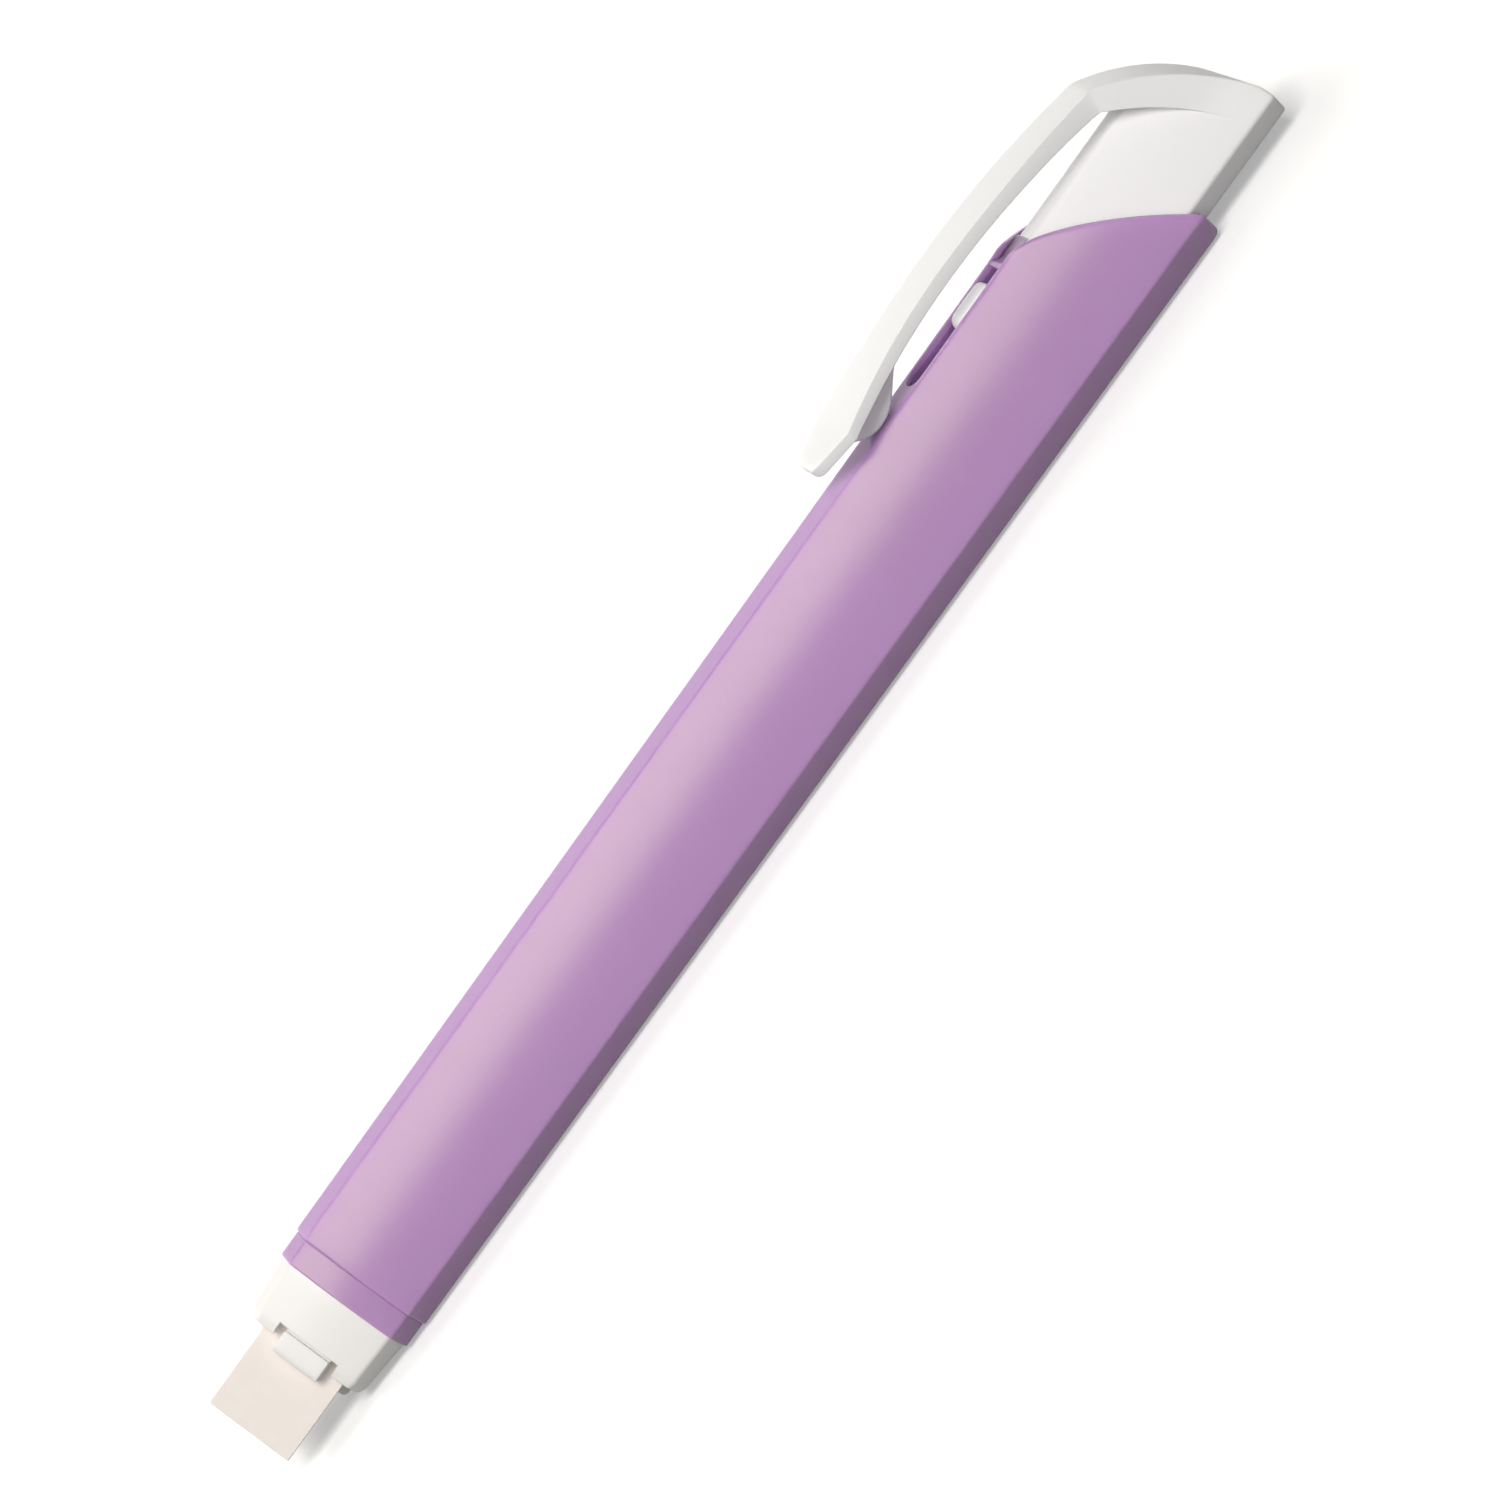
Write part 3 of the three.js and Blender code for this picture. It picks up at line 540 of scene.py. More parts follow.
    outer, inner = edge_loop(out_rows), edge_loop(in_rows)
    walls = np.stack([outer, np.roll(outer, -1), np.roll(inner, -1), inner], -1)
    make_piece("barrel_body", rings.reshape(-1, 3), [np.concatenate([faces[keep], walls])],
               LILAC, "holder", "barrel_plastic", "barrel")


# Nose and jaws

def make_nose():
    """The nose as one wall: its slanted outside, a bevelled front with a notch in each wide side,
    and its passage.

    Across a wide side, the points nearest the middle lie in a jaw's channel, and the next ones in
    the notch. In the notch the rows near the front are drawn back, so that its floor lies behind
    the front face.
    """
    both_sides = np.array([-0.02, 0.02])
    inner = np.concatenate([[0, 0.7, 1.4, 2.0], CHANNEL_HALF + both_sides, NOTCH_HALF + both_sides])
    held = np.concatenate([-inner[:0:-1], inner])
    rest = np.linspace(0, 1, 7)[1:]
    wide = (
        np.concatenate([np.full(len(rest), -inner[-1]), held, np.full(len(rest), inner[-1])]),
        np.concatenate([-rest[::-1], np.zeros(len(held)), rest]),
    )
    in_channel = np.abs(wide[0]) < CHANNEL_HALF
    in_notch = np.abs(wide[0]) < NOTCH_HALF
    beside_wide = np.zeros(len(CORNER_STEPS) * 2 + len(PLAIN_FLAT[0]), bool)
    notch_points = np.concatenate([in_notch, beside_wide] * 3)

    def drawn_back(x):
        """Each row's x per point: in the notch, 0 to the reach is pressed into depth to reach."""
        back = np.where(x < NOTCH_REACH, NOTCH_DEPTH + x * (NOTCH_REACH - NOTCH_DEPTH) / NOTCH_REACH, x)
        return np.where(notch_points[None, :], back[:, None], x[:, None])

    def slant(x):
        """Inset from the barrel's section: a straight line along x, and the bevel at the front."""
        share = np.clip(x / NOSE_SHOULDER, 0, 1)
        bevel = NOSE_BEVEL * np.clip(1 - x / NOSE_BEVEL_LENGTH, 0, 1)
        return NOSE_FRONT_INSET + (NOSE_REAR_INSET - NOSE_FRONT_INSET) * share + bevel

    # Outside, from the shoulder to the front edge, with a small rounding at each end
    outside_rows = np.array([
        (NOSE_SHOULDER, 0.06), (NOSE_SHOULDER - 0.01, 0.03), (NOSE_SHOULDER - 0.04, 0.01),
        (NOSE_SHOULDER - 0.11, 0), (4.4, 0), (3.2, 0), (NOTCH_REACH, 0), (1.4, 0), (0.95, 0), (0.75, 0),
        (0.65, 0), (0.4, 0), (0.18, 0), (0.08, 0.01), (0.02, 0.035), (0, 0.08),
    ])
    x_out, rounding = outside_rows.T
    inset = slant(x_out) + rounding
    x_notched = drawn_back(x_out)
    moved = slant(x_out)[:, None] - slant(x_notched[:, : len(in_notch)])
    outside = outline(BARREL_FACE - inset, BARREL_CORNER - inset, SIDE_RISE, NOSE_EDGE, wide,
                      raised=np.where(in_notch[None, :], moved, 0))

    # Passage, from the front edge to the rear of the spigot
    x_in = np.array([
        0, 0.05, 0.15, 1, NOTCH_REACH - 0.01, CHANNEL_START - 0.01, CHANNEL_START + 0.01, 5, 9,
        SPIGOT_END - 0.1, SPIGOT_END])
    wider = np.zeros(len(x_in))
    wider[:2] = 0.1, 0.03
    depth = np.where(x_in < CHANNEL_START, MOUTH_FACE, CHANNEL_FACE) - PASSAGE_FACE
    passage = outline(PASSAGE_FACE + wider, PASSAGE_CORNER + wider, 0, PASSAGE_EDGE, wide,
                      raised=np.where(in_channel[None, :], depth[:, None], 0))

    # Spigot, from its rear end to the shoulder
    spigot_rows = np.array([
        (SPIGOT_END, 0.1), (SPIGOT_END - 0.08, 0.03), (SPIGOT_END - 0.3, 0), (11, 0), (8, 0),
        (NOSE_SHOULDER, 0),
    ]) + (0, SPIGOT_INSET)
    x_spigot, inset = spigot_rows.T
    spigot = outline(BARREL_FACE - inset, BARREL_CORNER - inset, SIDE_RISE, SPIGOT_EDGE, wide)

    rings = np.concatenate([
        along_x(x_notched, outside), along_x(drawn_back(x_in), passage), along_x(x_spigot, spigot)])
    make_piece("nose_body", *closed_loop(rings), WHITE_NOSE, "holder", "nose_plastic", "nose_tip")


def make_jaw(name, turn):
    """One jaw as a bar along x between its gripping side and its outer side, turned about the axis
    to its wide side.

    Rows give x, the two distances from the axis and the half width; near places make a step.
    """
    rows = np.array([
        (JAW_FRONT, 2.60, 3.62, JAW_HALF - 0.12),
        (JAW_FRONT + 0.03, 2.53, 3.72, JAW_HALF - 0.05),
        (JAW_FRONT + 0.12, 2.49, 3.83, JAW_HALF - 0.01),
        (JAW_FRONT + 0.25, JAW_GRIP, 3.93, JAW_HALF),
        (JAW_FRONT + 0.4, JAW_GRIP, 3.99, JAW_HALF),
        (JAW_FRONT + 0.55, JAW_GRIP, JAW_HEAD, JAW_HALF),
        (JAW_HEAD_BACK - 0.2, JAW_GRIP, JAW_HEAD, JAW_HALF),
        (JAW_HEAD_BACK - 0.08, JAW_GRIP, 3.98, JAW_HALF - 0.01),
        (JAW_HEAD_BACK - 0.01, JAW_GRIP, 3.92, JAW_HALF - 0.04),
        (JAW_HEAD_BACK, JAW_GRIP, JAW_WEDGE, JAW_HALF - 0.04),
        (JAW_HEAD_BACK + 0.05, JAW_GRIP, JAW_WEDGE, JAW_HALF),
        (1.25, JAW_GRIP, JAW_WEDGE, JAW_HALF),
        (1.5, 2.53, JAW_WEDGE, JAW_HALF),
        (1.7, 2.5816, 3.53, JAW_HALF),
        (7.4, 2.596, 3.2016, JAW_HALF),
        (19.1, 2.624, JAW_ARM, JAW_HALF),
        (HOOK_FRONT - 0.05, 2.628, JAW_ARM, JAW_HALF),
        (HOOK_FRONT, 2.6285, JAW_ARM, HOOK_HALF - 0.1),
        (HOOK_FRONT + 0.1, 2.629, JAW_ARM, HOOK_HALF),
        (HOOK_REAR - 0.1, 2.631, JAW_ARM, HOOK_HALF),
        (HOOK_REAR, PASSAGE_FACE, 3.3, HOOK_HALF - 0.1),
    ])
    rings = bar(rows[:, [0, 1]], rows[:, [0, 2]], rows[:, 3], JAW_ROUND)
    y = rings[..., 1] * np.cos(turn) - rings[..., 2] * np.sin(turn)
    z = rings[..., 1] * np.sin(turn) + rings[..., 2] * np.cos(turn)
    rings = np.stack([rings[..., 0], y, z], -1)
    make_piece(name + "_body", *closed_ends(rings), WHITE_JAW, name, name + "_plastic", name)


# Push cap and clip

def lid_arc():
    """Middle in x and z of the arc of the lid's radius, from the foot of the cap's end to the elbow."""
    chord = np.array([ELBOW_X - CAP_END, ELBOW_Z - LID_LOW])
    half = np.linalg.norm(chord) / 2
    inward = np.array([-chord[1], chord[0]]) / (2 * half)
    return np.array([CAP_END, LID_LOW]) + chord / 2 + inward * np.sqrt(LID_RADIUS**2 - half**2)


LID_MIDDLE = lid_arc()


def cap_end_x(z):
    """End of the push cap over height: square below, the lid's arc above, and the turn softened."""
    heights = np.linspace(-8, 11, 400)
    arc = LID_MIDDLE[0] + np.sqrt(np.maximum(LID_RADIUS**2 - (heights - LID_MIDDLE[1]) ** 2, 0))
    end = np.where(heights < LID_LOW, CAP_END, np.minimum(arc, CAP_END))
    return np.interp(z, heights, smoothed(end, 16))


def cap_sizes(x, inset=0.0):
    """Face and corner of the push cap: the barrel's rear bore, less the running gap and an inset."""
    less = flare(x) - CAP_GAP - inset
    return BARREL_FACE - REAR_SIDE_WALL + less, BARREL_CORNER - REAR_CORNER_WALL + less


def cap_outline(x, inset):
    """Sections of the push cap at x, moved up as the barrel's rear bore is."""
    section = outline(*cap_sizes(x, inset), CAP_RISE, CAP_EDGE)
    section[..., 1] += BORE_LIFT
    return section


def make_cap():
    """The cap's shell: its rounded end, its sides into the barrel, its hollow and the rod's boss.

    In front of the tongue's root, the top is set down by the tongue's recess.
    """
    share = np.array([0.15, 0.4, 0.7, 0.9])
    x_end = np.full(len(share), CAP_END)
    end = cap_outline(x_end, CAP_ROUND)
    end[..., 0] *= share[:, None]
    end[..., 1] = BORE_LIFT + (end[..., 1] - BORE_LIFT) * share[:, None]

    side_rows = np.array([
        (CAP_END, CAP_ROUND), (CAP_END - 0.015, 0.18), (CAP_END - 0.07, 0.08), (CAP_END - 0.17, 0.02),
        (CAP_END - 0.3, 0), (128.5, 0), (126.5, 0), (124, 0), (121, 0), (118, 0), (112, 0),
        (TONGUE_ROOT + 0.02, 0), (TONGUE_ROOT, 0), (LATCH_FRONT, 0), (98, 0), (96, 0),
        (SKIRT_FRONT + 0.2, 0.02), (SKIRT_FRONT + 0.05, 0.1), (SKIRT_FRONT, 0.2),
    ])
    x_side, inset = side_rows.T
    side = cap_outline(x_side, inset)
    tongue_top = cap_sizes(x_side)[1] + BORE_LIFT - TONGUE_RECESS
    limit = np.where(x_side <= TONGUE_ROOT, tongue_top, np.inf)
    side[..., 1] = np.minimum(side[..., 1], limit[:, None])

    x_hollow = np.array([SKIRT_FRONT, SKIRT_FRONT + 0.1, 100, 108, 116, CAVITY_END])
    hollow = cap_outline(x_hollow, CAP_WALL - np.array([0.1, 0, 0, 0, 0, 0]))
    rings = np.concatenate([along_x(x_end, end), along_x(x_side, side), along_x(x_hollow, hollow)])
    rings = follow_end(rings, LID_START, CAP_END, cap_end_x)

    boss = np.array([
        (CAVITY_END, BOSS_RADIUS), (BOSS_FRONT + 0.15, BOSS_RADIUS), (BOSS_FRONT, BOSS_RADIUS - 0.15),
        (BOSS_FRONT, BOSS_BORE + 0.1), (BOSS_FRONT + 0.15, BOSS_BORE), (CAVITY_END, BOSS_BORE),
    ])
    angle = np.arctan2(hollow[-1, :, 1], hollow[-1, :, 0])
    round_boss = np.stack([boss[:, 1:] * np.cos(angle), boss[:, 1:] * np.sin(angle)], -1)
    rings = np.concatenate([rings, along_x(boss[:, 0], round_boss)])
    make_piece("cap_body", *closed_ends(rings), WHITE_CAP, "plunger", "cap_plastic", "push_cap")


def arm_half(x):
    """Half width of the clip over x: narrow at the elbow, wider along the arm, curving out to its
    flare, and from there straight in to a tip with round corners."""
    curve = bend([(FLARE_X + FLARE_RUN, ARM_HALF), (FLARE_X + FLARE_PULL, ARM_HALF), (FLARE_X, FLARE_HALF)],
                 np.linspace(0, 1, 40))[::-1]
    places = np.concatenate([[TIP_X, TIP_X + TIP_ROUND], curve[:, 0], [ARM_NARROWS, ELBOW_X + 1]])
    halves = np.concatenate([[TIP_HALF, TIP_CORNER_HALF], curve[:, 1], [ARM_HALF, ELBOW_HALF]])
    left = np.clip((x - TIP_X) / TIP_ROUND, 0, 1)
    return np.interp(x, places, halves) - TIP_ROUND * (1 - np.sqrt(1 - (1 - left) ** 2))


def cap_half(z):
    """Half width of the push cap over height, from one of its upper wide sides."""
    face, corner = cap_sizes(CAP_END)
    half = (corner - face / 2) / COS30
    along = np.linspace(half, -half, 80)
    out = face + CAP_RISE * (1 - (along / half) ** 2)
    return np.interp(z, BORE_LIFT + out / 2 - COS30 * along, COS30 * out + along / 2, right=0)


def rim_half(z):
    """Half width of the raised rim over height: its own leaning side above, run smoothly into the
    cap's side below, into which its foot sinks."""
    lean = RIM_HALF + RIM_LEAN * (ELBOW_Z - z)
    sunk = np.interp(z, [RIM_FOOT, -1.2, -0.2, 0.6], [-0.3, -0.12, 0.0, 0.02])
    return RIM_SOFT * np.logaddexp(lean / RIM_SOFT, cap_half(z) / RIM_SOFT) + sunk


def make_clip():
    """The raised rim over the cap's end, the elbow and the clip arm, as one bar between an outer and
    an inner curve.

    The rim's outer curve is the cap's end and its inner curve the same moved in by the rim's depth;
    it sinks into the cap at its foot. The arm bows up to its crown, dips to its flared end and
    levels out at its rounded tip.
    """
    low, thin = CROWN_Z - CLIP_THICKNESS, CLIP_THICKNESS / 2
    bow_x = (ELBOW_X + CROWN_X) / 2
    under = bend([(ELBOW_X - thin, ELBOW_Z - ELBOW_THICKNESS), (bow_x, low), (CROWN_X, low)],
                 np.linspace(0, 1, 200))
    meet = np.argmin(np.abs(under[:, 0] + RIM_DEPTH - cap_end_x(under[:, 1])))

    rise = np.concatenate([
        np.linspace(RIM_FOOT, 2, 11), np.linspace(2.4, ELBOW_Z - 0.6, 17),
        ELBOW_Z - np.array([0.3, 0.12, 0])])
    fall = RIM_FOOT + (rise - RIM_FOOT) * (under[meet, 1] - RIM_FOOT) / (ELBOW_Z - RIM_FOOT)
    proud = np.interp(rise, [RIM_FOOT, -1.2, -0.4, 0.4], [-0.3, -0.12, 0.0, 0.03])
    rim_outer = np.stack([cap_end_x(rise) + proud, rise], -1)
    rim_inner = np.stack([cap_end_x(fall) - RIM_DEPTH, fall], -1)

    t = np.concatenate([[0.006, 0.016], np.linspace(0.035, 1, 18)])
    bow_outer = bend([(ELBOW_X, ELBOW_Z), (bow_x, CROWN_Z), (CROWN_X, CROWN_Z)], t)
    places = meet + (len(under) - 1 - meet) * t
    bow_inner = np.stack([np.interp(places, np.arange(len(under)), line) for line in under.T], -1)

    t = np.linspace(0, 1, 24)
    crown_x, flare_x = CROWN_X - CROWN_PULL, FLARE_X + FLARE_PULL
    dip_outer = bend([
        (CROWN_X, CROWN_Z), (crown_x, CROWN_Z), (flare_x, FLARE_Z + thin), (FLARE_X, FLARE_Z)], t)[1:]
    dip_inner = bend([
        (CROWN_X, low), (crown_x, low), (flare_x, FLARE_Z - thin), (FLARE_X, FLARE_Z - TIP_THICKNESS)], t)[1:]

    tip_rows = np.array([
        (3.9, 0), (3.3, 0), (2.6, 0), (1.9, 0), (1.3, 0), (0.9, 0), (0.6, 0.01), (0.38, 0.04), (0.2, 0.1),
        (0.08, 0.2), (0.02, 0.3), (0, 0.4),
    ])
    tip_x, rounded = TIP_X + tip_rows[:, 0], tip_rows[:, 1]
    tip_z = TIP_Z + (FLARE_Z - TIP_Z) * (tip_x - TIP_X) / (FLARE_X - TIP_X)
    tip_outer = np.stack([tip_x, tip_z - rounded], -1)
    tip_inner = np.stack([tip_x, tip_z - TIP_THICKNESS + rounded * 0.6], -1)

    # The elbow is a short curve over its neighbours, and the width changes from rim to arm around it
    outer = np.concatenate([rim_outer, bow_outer, dip_outer, tip_outer])
    inner = np.concatenate([rim_inner, bow_inner, dip_inner, tip_inner])
    elbow = len(rise) - 1
    outer[elbow - 2:elbow + 3] = bend(outer[[elbow - 2, elbow, elbow + 2]], np.linspace(0, 1, 5))
    arm = ease((np.arange(len(outer))[:, None] - elbow + 4) / 8)
    rim_width = np.stack([rim_half(inner[:, 1]), rim_half(outer[:, 1])], -1)
    arm_width = np.stack([arm_half(inner[:, 0]), arm_half(outer[:, 0])], -1)
    width = rim_width * (1 - arm) + arm_width * arm
    crown = np.interp(outer[:, 0], [TIP_X, FLARE_X, FLARE_X + 12, CROWN_X], [0.12, 0.16, 0.05, 0.02])
    rings = bar(inner, outer, width, CLIP_ROUND, crown)
    make_piece("clip_arm", *closed_ends(rings), WHITE_CAP, "plunger", "cap_plastic", "push_cap")


def make_clip_foot():
    """The rounded foot under the clip's flared end: a bar between a level line inside the arm and,
    below, a quadratic curve down to the foot and a cubic one up from it."""
    foot_x = TIP_X + FOOT_REACH
    foot_z = BARREL_CORNER + flare(foot_x) + FOOT_GAP
    top = FLARE_Z - CLIP_THICKNESS / 2
    t = np.linspace(0, 1, 12)
    down = bend([(foot_x - 3.6, top), (foot_x - 2.2, foot_z), (foot_x, foot_z)], t)
    back_up = bend([
        (foot_x, foot_z), (foot_x + 2.6, foot_z), (foot_x + 3.6, top), (foot_x + 7, top + 0.3)], t)
    below = np.concatenate([down, back_up[1:]])
    above = np.stack([below[:, 0], np.full(len(below), top + 0.5)], -1)
    rings = bar(below, above, np.full(len(below), FOOT_HALF), FOOT_ROUND)
    make_piece("clip_foot", *closed_ends(rings), WHITE_CAP, "plunger", "cap_plastic", "push_cap")


def make_latch():
    """The latch in the barrel's slot: a short bar with rounded ends, rooted in the cap's tongue.

    Rows give x, the depth below the top and the half width.
    """
    top = BARREL_CORNER + flare(LATCH_FRONT) + LATCH_PROUD
    bottom = cap_sizes(LATCH_FRONT)[1] + BORE_LIFT - LATCH_ROOT * CAP_WALL
    rows = np.array([
        (LATCH_FRONT, 0.6, 0.55), (LATCH_FRONT + 0.05, 0.52, 0.72), (LATCH_FRONT + 0.15, 0.4, 0.86),
        (LATCH_FRONT + 0.35, 0.2, 0.96), (LATCH_FRONT + 0.6, 0.07, 1), (LATCH_FRONT + 0.9, 0.02, 1),
        (102, 0, 1), (LATCH_REAR - 0.7, 0.02, 1), (LATCH_REAR - 0.4, 0.06, 0.97),
        (LATCH_REAR - 0.2, 0.13, 0.88), (LATCH_REAR - 0.07, 0.24, 0.72), (LATCH_REAR, 0.4, 0.5),
    ])
    above = np.stack([rows[:, 0], top - rows[:, 1]], -1)
    below = np.stack([rows[:, 0], np.full(len(rows), bottom)], -1)
    rings = bar(below, above, rows[:, 2], LATCH_ROUND, LATCH_CROWN)
    make_piece("latch_tab", *closed_ends(rings), WHITE_CAP, "plunger", "cap_plastic", "push_cap")


# Eraser and spring

def make_eraser():
    """The eraser stick: a triangular prism with crisp edges and slightly softened ends.

    Rows give the place from its front end, and the share of the full section.
    """
    rows = np.array([
        (0, 0.9), (0, 0.96), (0.02, 0.98), (0.08, 0.995), (0.2, 1), (1, 1), (3, 1), (8, 1), (20, 1),
        (40, 1), (60, 1), (ERASER_LENGTH - 0.2, 1), (ERASER_LENGTH - 0.05, 0.99), (ERASER_LENGTH, 0.97),
        (ERASER_LENGTH, 0.9),
    ])
    x, share = rows.T
    sections = outline(ERASER_FACE * share, ERASER_CORNER * share, 0, ERASER_EDGE * share)
    rings = along_x(ERASER_FRONT + x, sections)
    make_piece("eraser_stick_body", *closed_ends(rings), VINYL, "eraser", "eraser_vinyl", "eraser_stick")


def make_spring():
    """The return spring: round wire along a helix, with one closed turn at each end.

    Along the wire, x climbs by about one wire a turn in the end turns and by an even pitch between
    them; the ring of the wire stands across the helix's own direction. The coil clears the bore
    at the middle of a wide side, which the CAD cuts into facets.
    """
    room = BARREL_FACE + flare(SEAT_X) - REAR_SIDE_WALL + SIDE_RISE * (1 - 1 / SIDE_FACETS**2)
    radius = room - SPRING_GAP - SPRING_WIRE / 2
    inset = SPRING_WIRE / 2 + SPRING_END_GAP
    length = SPRING_LENGTH - 2 * inset
    closed = SPRING_WIRE * SPRING_CLOSE
    turns = np.linspace(0, SPRING_TURNS, SPRING_TURNS * 40 + 1)
    climb = np.interp(turns, [0, 1, SPRING_TURNS - 1, SPRING_TURNS], [0, closed, length - closed, length])
    x = smoothed(SEAT_X + inset + climb, 12)
    angle = 2 * np.pi * turns
    path = np.stack([x, radius * np.cos(angle), radius * np.sin(angle) + BORE_LIFT], -1)
    ahead = np.gradient(path, axis=0)
    ahead /= np.linalg.norm(ahead, axis=1, keepdims=True)
    out = np.stack([0 * angle, np.cos(angle), np.sin(angle)], -1)
    aside = np.cross(ahead, out)
    around = np.radians(np.arange(0, 360, 30))[None, :, None]
    ring = np.cos(around) * out[:, None] + np.sin(around) * aside[:, None]
    rings = path[:, None] + SPRING_WIRE / 2 * ring
    piece = make_piece("spring_coil", *closed_ends(rings), STEEL, "holder", "spring_steel", "return_spring")
    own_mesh(piece)


make_barrel()
make_nose()
make_jaw("jaw_front", np.radians(60))
make_jaw("jaw_under", np.radians(180))
make_jaw("jaw_back", np.radians(300))
make_cap()
make_clip()
make_clip_foot()
make_latch()
make_eraser()
make_spring()


def dress(node, material):
    """Gives a node of the frame its finish."""
    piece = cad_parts[node]
    piece.data.materials.clear()
    piece.data.materials.append(material)


dress("eraser_tube", NATURAL_TUBE)
dress("push_rod", NATURAL_ROD)


# Camera, in metres: looks along +y and down, rolled so that the holder runs up to the right
ELEVATION, ROLL = np.radians(23.5), np.radians(54.02)
DISTANCE = 0.48
LOOK_AT, LOOK_DROP = np.array([0.0005604, 0, 0.00525]), 0.00038
PIXELS_PER_MM, FRAME_PIXELS, SENSOR = 12.117, 1500, 36


def placed(axes, place):
    """The matrix that sets an object at a place, with its own x, y and z along three axes."""
    return Matrix([(*row, at) for row, at in zip(np.stack(axes, 1), place)] + [(0, 0, 0, 1)])


def make_camera():
    """The camera of the photo: its up and right are the upright view's, turned by the roll."""
    back = np.array([0, -np.cos(ELEVATION), np.sin(ELEVATION)])
    upright = np.array([0, np.sin(ELEVATION), np.cos(ELEVATION)])
    level = np.array([1.0, 0, 0])
    right = np.cos(ROLL) * level - np.sin(ROLL) * upright
    up = np.sin(ROLL) * level + np.cos(ROLL) * upright
    lens = bpy.data.cameras.new("camera")
    lens.sensor_width = SENSOR
    lens.lens = SENSOR * PIXELS_PER_MM * DISTANCE * 1000 / FRAME_PIXELS
    lens.clip_start, lens.clip_end = 0.01, 20
    camera = bpy.data.objects.new("camera", lens)
    camera.matrix_world = placed([right, up, back], LOOK_AT - LOOK_DROP * upright + DISTANCE * back)
    bpy.context.scene.collection.objects.link(camera)
    bpy.context.scene.camera = camera


make_camera()


# Floor, lamps and surroundings, in metres
FLOOR_HALF, FLOOR_WHITE, FLOOR_BOUNCE = 3.0, 0.75, 0.20
FLOOR_GLOW, GLOW_REACH, HALF_LENGTH = (0.32, 1.0), (0.01, 0.8), 0.07
AMBIENT = 0.15


def combined(tree, operation, first, second=None):
    """The result of a Math node on one socket, or on a socket and another socket or a number."""
    node = tree.nodes.new("ShaderNodeMath")
    node.operation = operation
    tree.links.new(first, node.inputs[0])
    if isinstance(second, float):
        node.inputs[1].default_value = second
    elif second:
        tree.links.new(second, node.inputs[1])
    return node.outputs["Value"]


def seen_ray(tree):
    """1 for a ray from the camera, a reflection or a glass, 0 for the rays that light a surface."""
    path = tree.nodes.new("ShaderNodeLightPath")
    seen = path.outputs["Is Camera Ray"]
    for ray in ("Is Glossy Ray", "Is Transmission Ray"):
        seen = combined(tree, "MAXIMUM", seen, path.outputs[ray])
    return seen


def floor_paper():
    """White paper: where it is seen it glows a little under its own shading, so that it is white
    with a soft shadow, and the light it throws back on the holder stays low.

    The glow grows with the distance from the holder: the larger of |y| and |x| less half its length.
    """
    material = bpy.data.materials.new("floor paper")
    material.use_nodes = True
    tree = material.node_tree
    tree.nodes.remove(tree.nodes["Principled BSDF"])
    kinds = ("BsdfDiffuse", "Emission", "BsdfDiffuse", "AddShader", "MixShader", "SeparateXYZ", "TexCoord")
    paper, glow, grey, white, mixed, parts, place = (tree.nodes.new("ShaderNode" + kind) for kind in kinds)
    paper.inputs["Color"].default_value = (FLOOR_WHITE, FLOOR_WHITE, FLOOR_WHITE, 1)
    grey.inputs["Color"].default_value = (FLOOR_BOUNCE, FLOOR_BOUNCE, FLOOR_BOUNCE, 1)
    tree.links.new(place.outputs["Object"], parts.inputs["Vector"])
    beyond = combined(tree, "SUBTRACT", combined(tree, "ABSOLUTE", parts.outputs["X"]), HALF_LENGTH)
    away = combined(tree, "MAXIMUM", beyond, combined(tree, "ABSOLUTE", parts.outputs["Y"]))
    tree.links.new(ranged(tree, away, *FLOOR_GLOW, *GLOW_REACH), glow.inputs["Strength"])
    tree.links.new(paper.outputs["BSDF"], white.inputs[0])
    tree.links.new(glow.outputs["Emission"], white.inputs[1])
    tree.links.new(seen_ray(tree), mixed.inputs["Fac"])
    tree.links.new(grey.outputs["BSDF"], mixed.inputs[1])
    tree.links.new(white.outputs["Shader"], mixed.inputs[2])
    tree.links.new(mixed.outputs["Shader"], tree.nodes["Material Output"].inputs["Surface"])
    return material


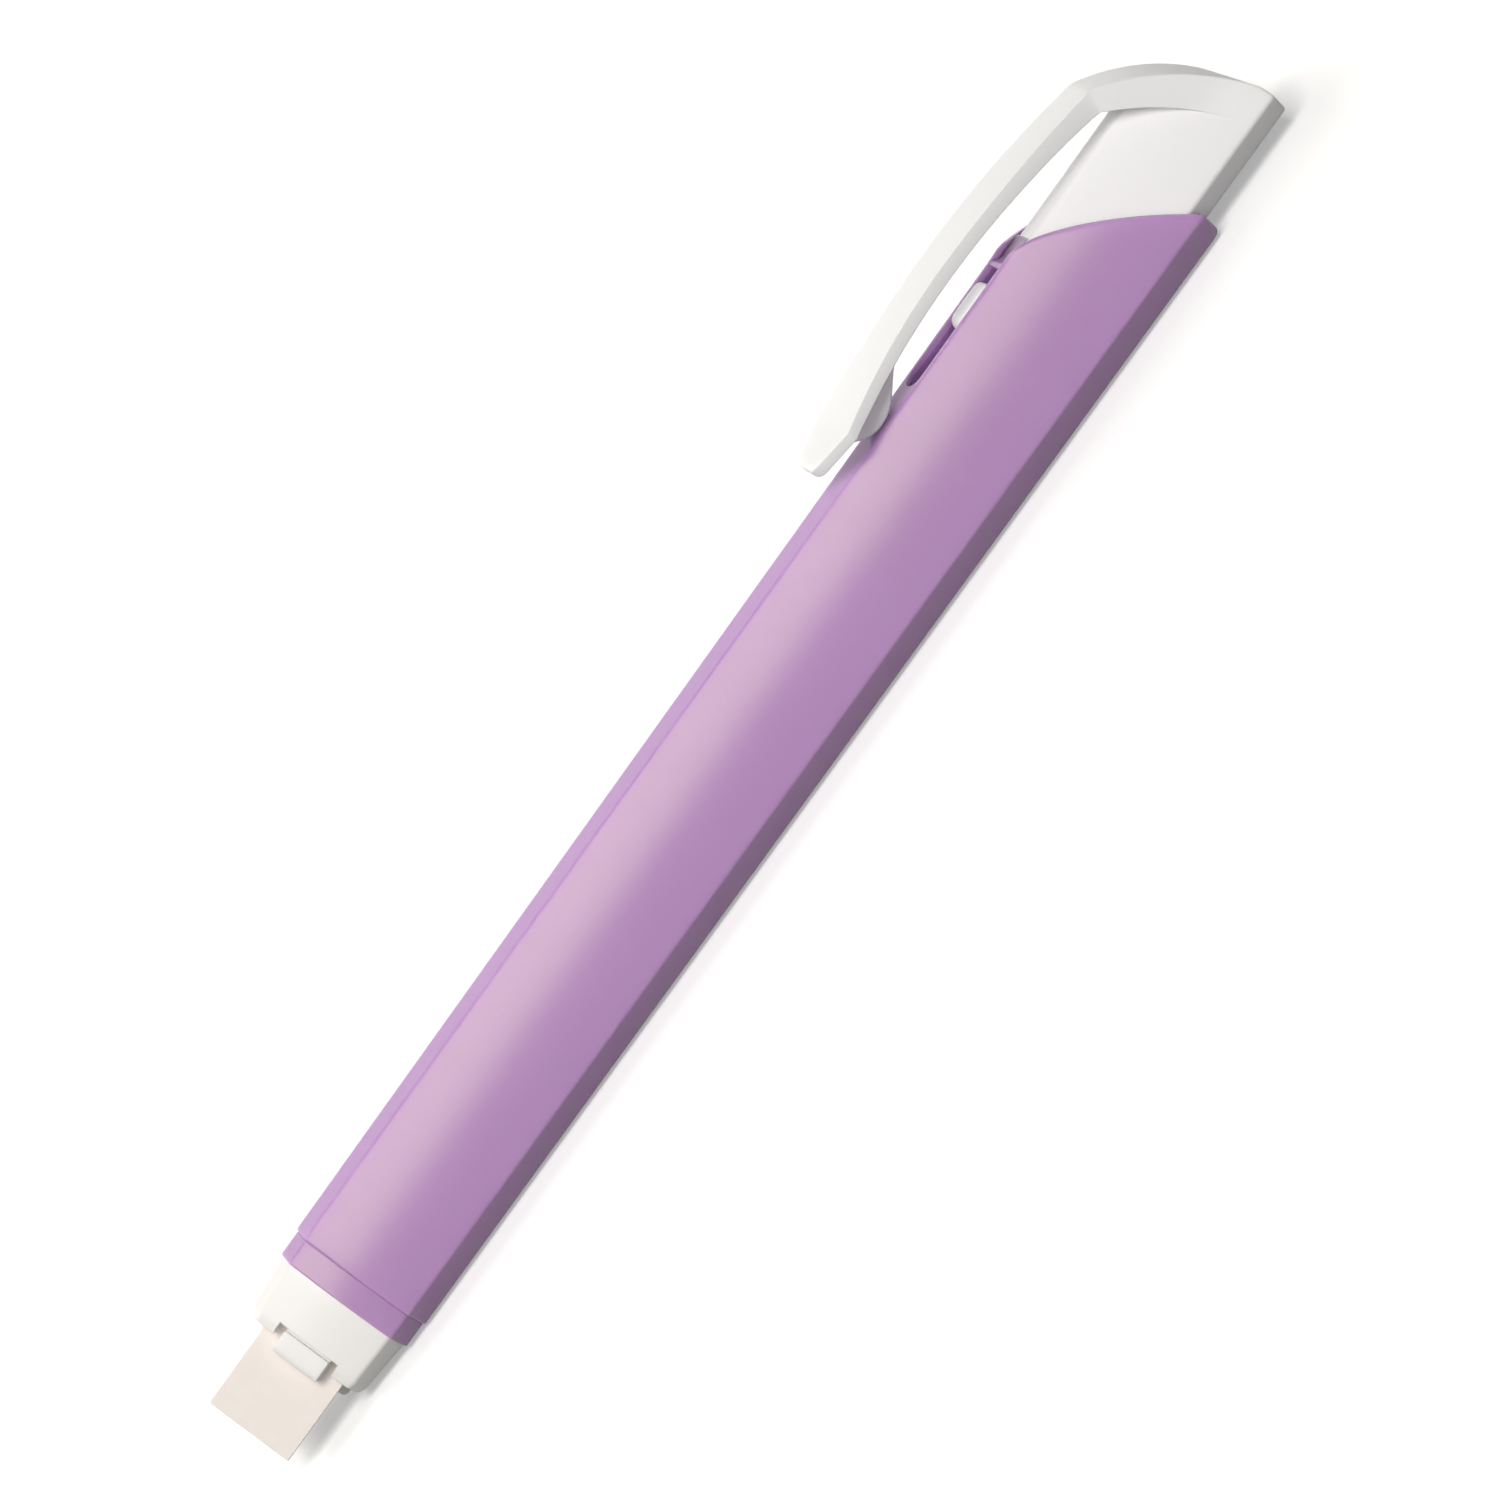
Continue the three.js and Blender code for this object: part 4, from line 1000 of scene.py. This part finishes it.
def make_floor():
    """A pale sheet under the holder."""
    corners = FLOOR_HALF * np.array([(-1, -1, 0), (1, -1, 0), (1, 1, 0), (-1, 1, 0)])
    mesh = bpy.data.meshes.new("floor")
    mesh.from_pydata(corners.tolist(), [], [(0, 1, 2, 3)])
    mesh.materials.append(floor_paper())
    floor = bpy.data.objects.new("floor", mesh)
    bpy.context.scene.collection.objects.link(floor)


def lamp(name, place, target, size, watts, roll=0.0, colour=(1, 1, 1)):
    """A soft rectangular lamp that faces its target, rolled about its own direction."""
    data = bpy.data.lights.new(name, "AREA")
    data.shape = "RECTANGLE"
    data.size, data.size_y = size
    data.energy = watts
    data.color = colour
    away = np.array(place, float) - np.array(target, float)
    away /= np.linalg.norm(away)
    side = np.cross([0, 0, 1], away)
    side /= np.linalg.norm(side)
    above = np.cross(away, side)
    turned_side = np.cos(roll) * side + np.sin(roll) * above
    turned_above = np.cos(roll) * above - np.sin(roll) * side
    light = bpy.data.objects.new(name, data)
    light.visible_camera = False
    light.matrix_world = placed([turned_side, turned_above, away], place)
    bpy.context.scene.collection.objects.link(light)


make_floor()
lamp("softbox", place=(-0.04, -0.373, 0.4726), target=(0.06, 0, 0), size=(0.38, 0.25), watts=2.85,
     roll=np.radians(12), colour=(1, 0.98, 0.94))
lamp("front card", place=(-0.15, -0.75, 0.28), target=(0, 0, 0), size=(1.0, 0.35), watts=1.2)
lamp("top light", place=(-0.4, 0.34, 0.52), target=(0, 0.02, 0), size=(0.5, 0.4), watts=2.5,
     colour=(1, 0.975, 0.9))
lamp("back card", place=(-0.12, 0.55, 0.24), target=(0, 0, 0.01), size=(0.7, 0.25), watts=0.55)
lamp("back fill", place=(0.1, 0.6, 0.05), target=(0, 0, 0.005), size=(0.9, 0.08), watts=1.0)

world = bpy.data.worlds.new("studio")
bpy.context.scene.world = world
world.use_nodes = True
background = world.node_tree.nodes["Background"]
background.inputs["Color"].default_value = (1, 1, 1, 1)
background.inputs["Strength"].default_value = AMBIENT
bpy.context.scene.view_settings.view_transform = "Standard"
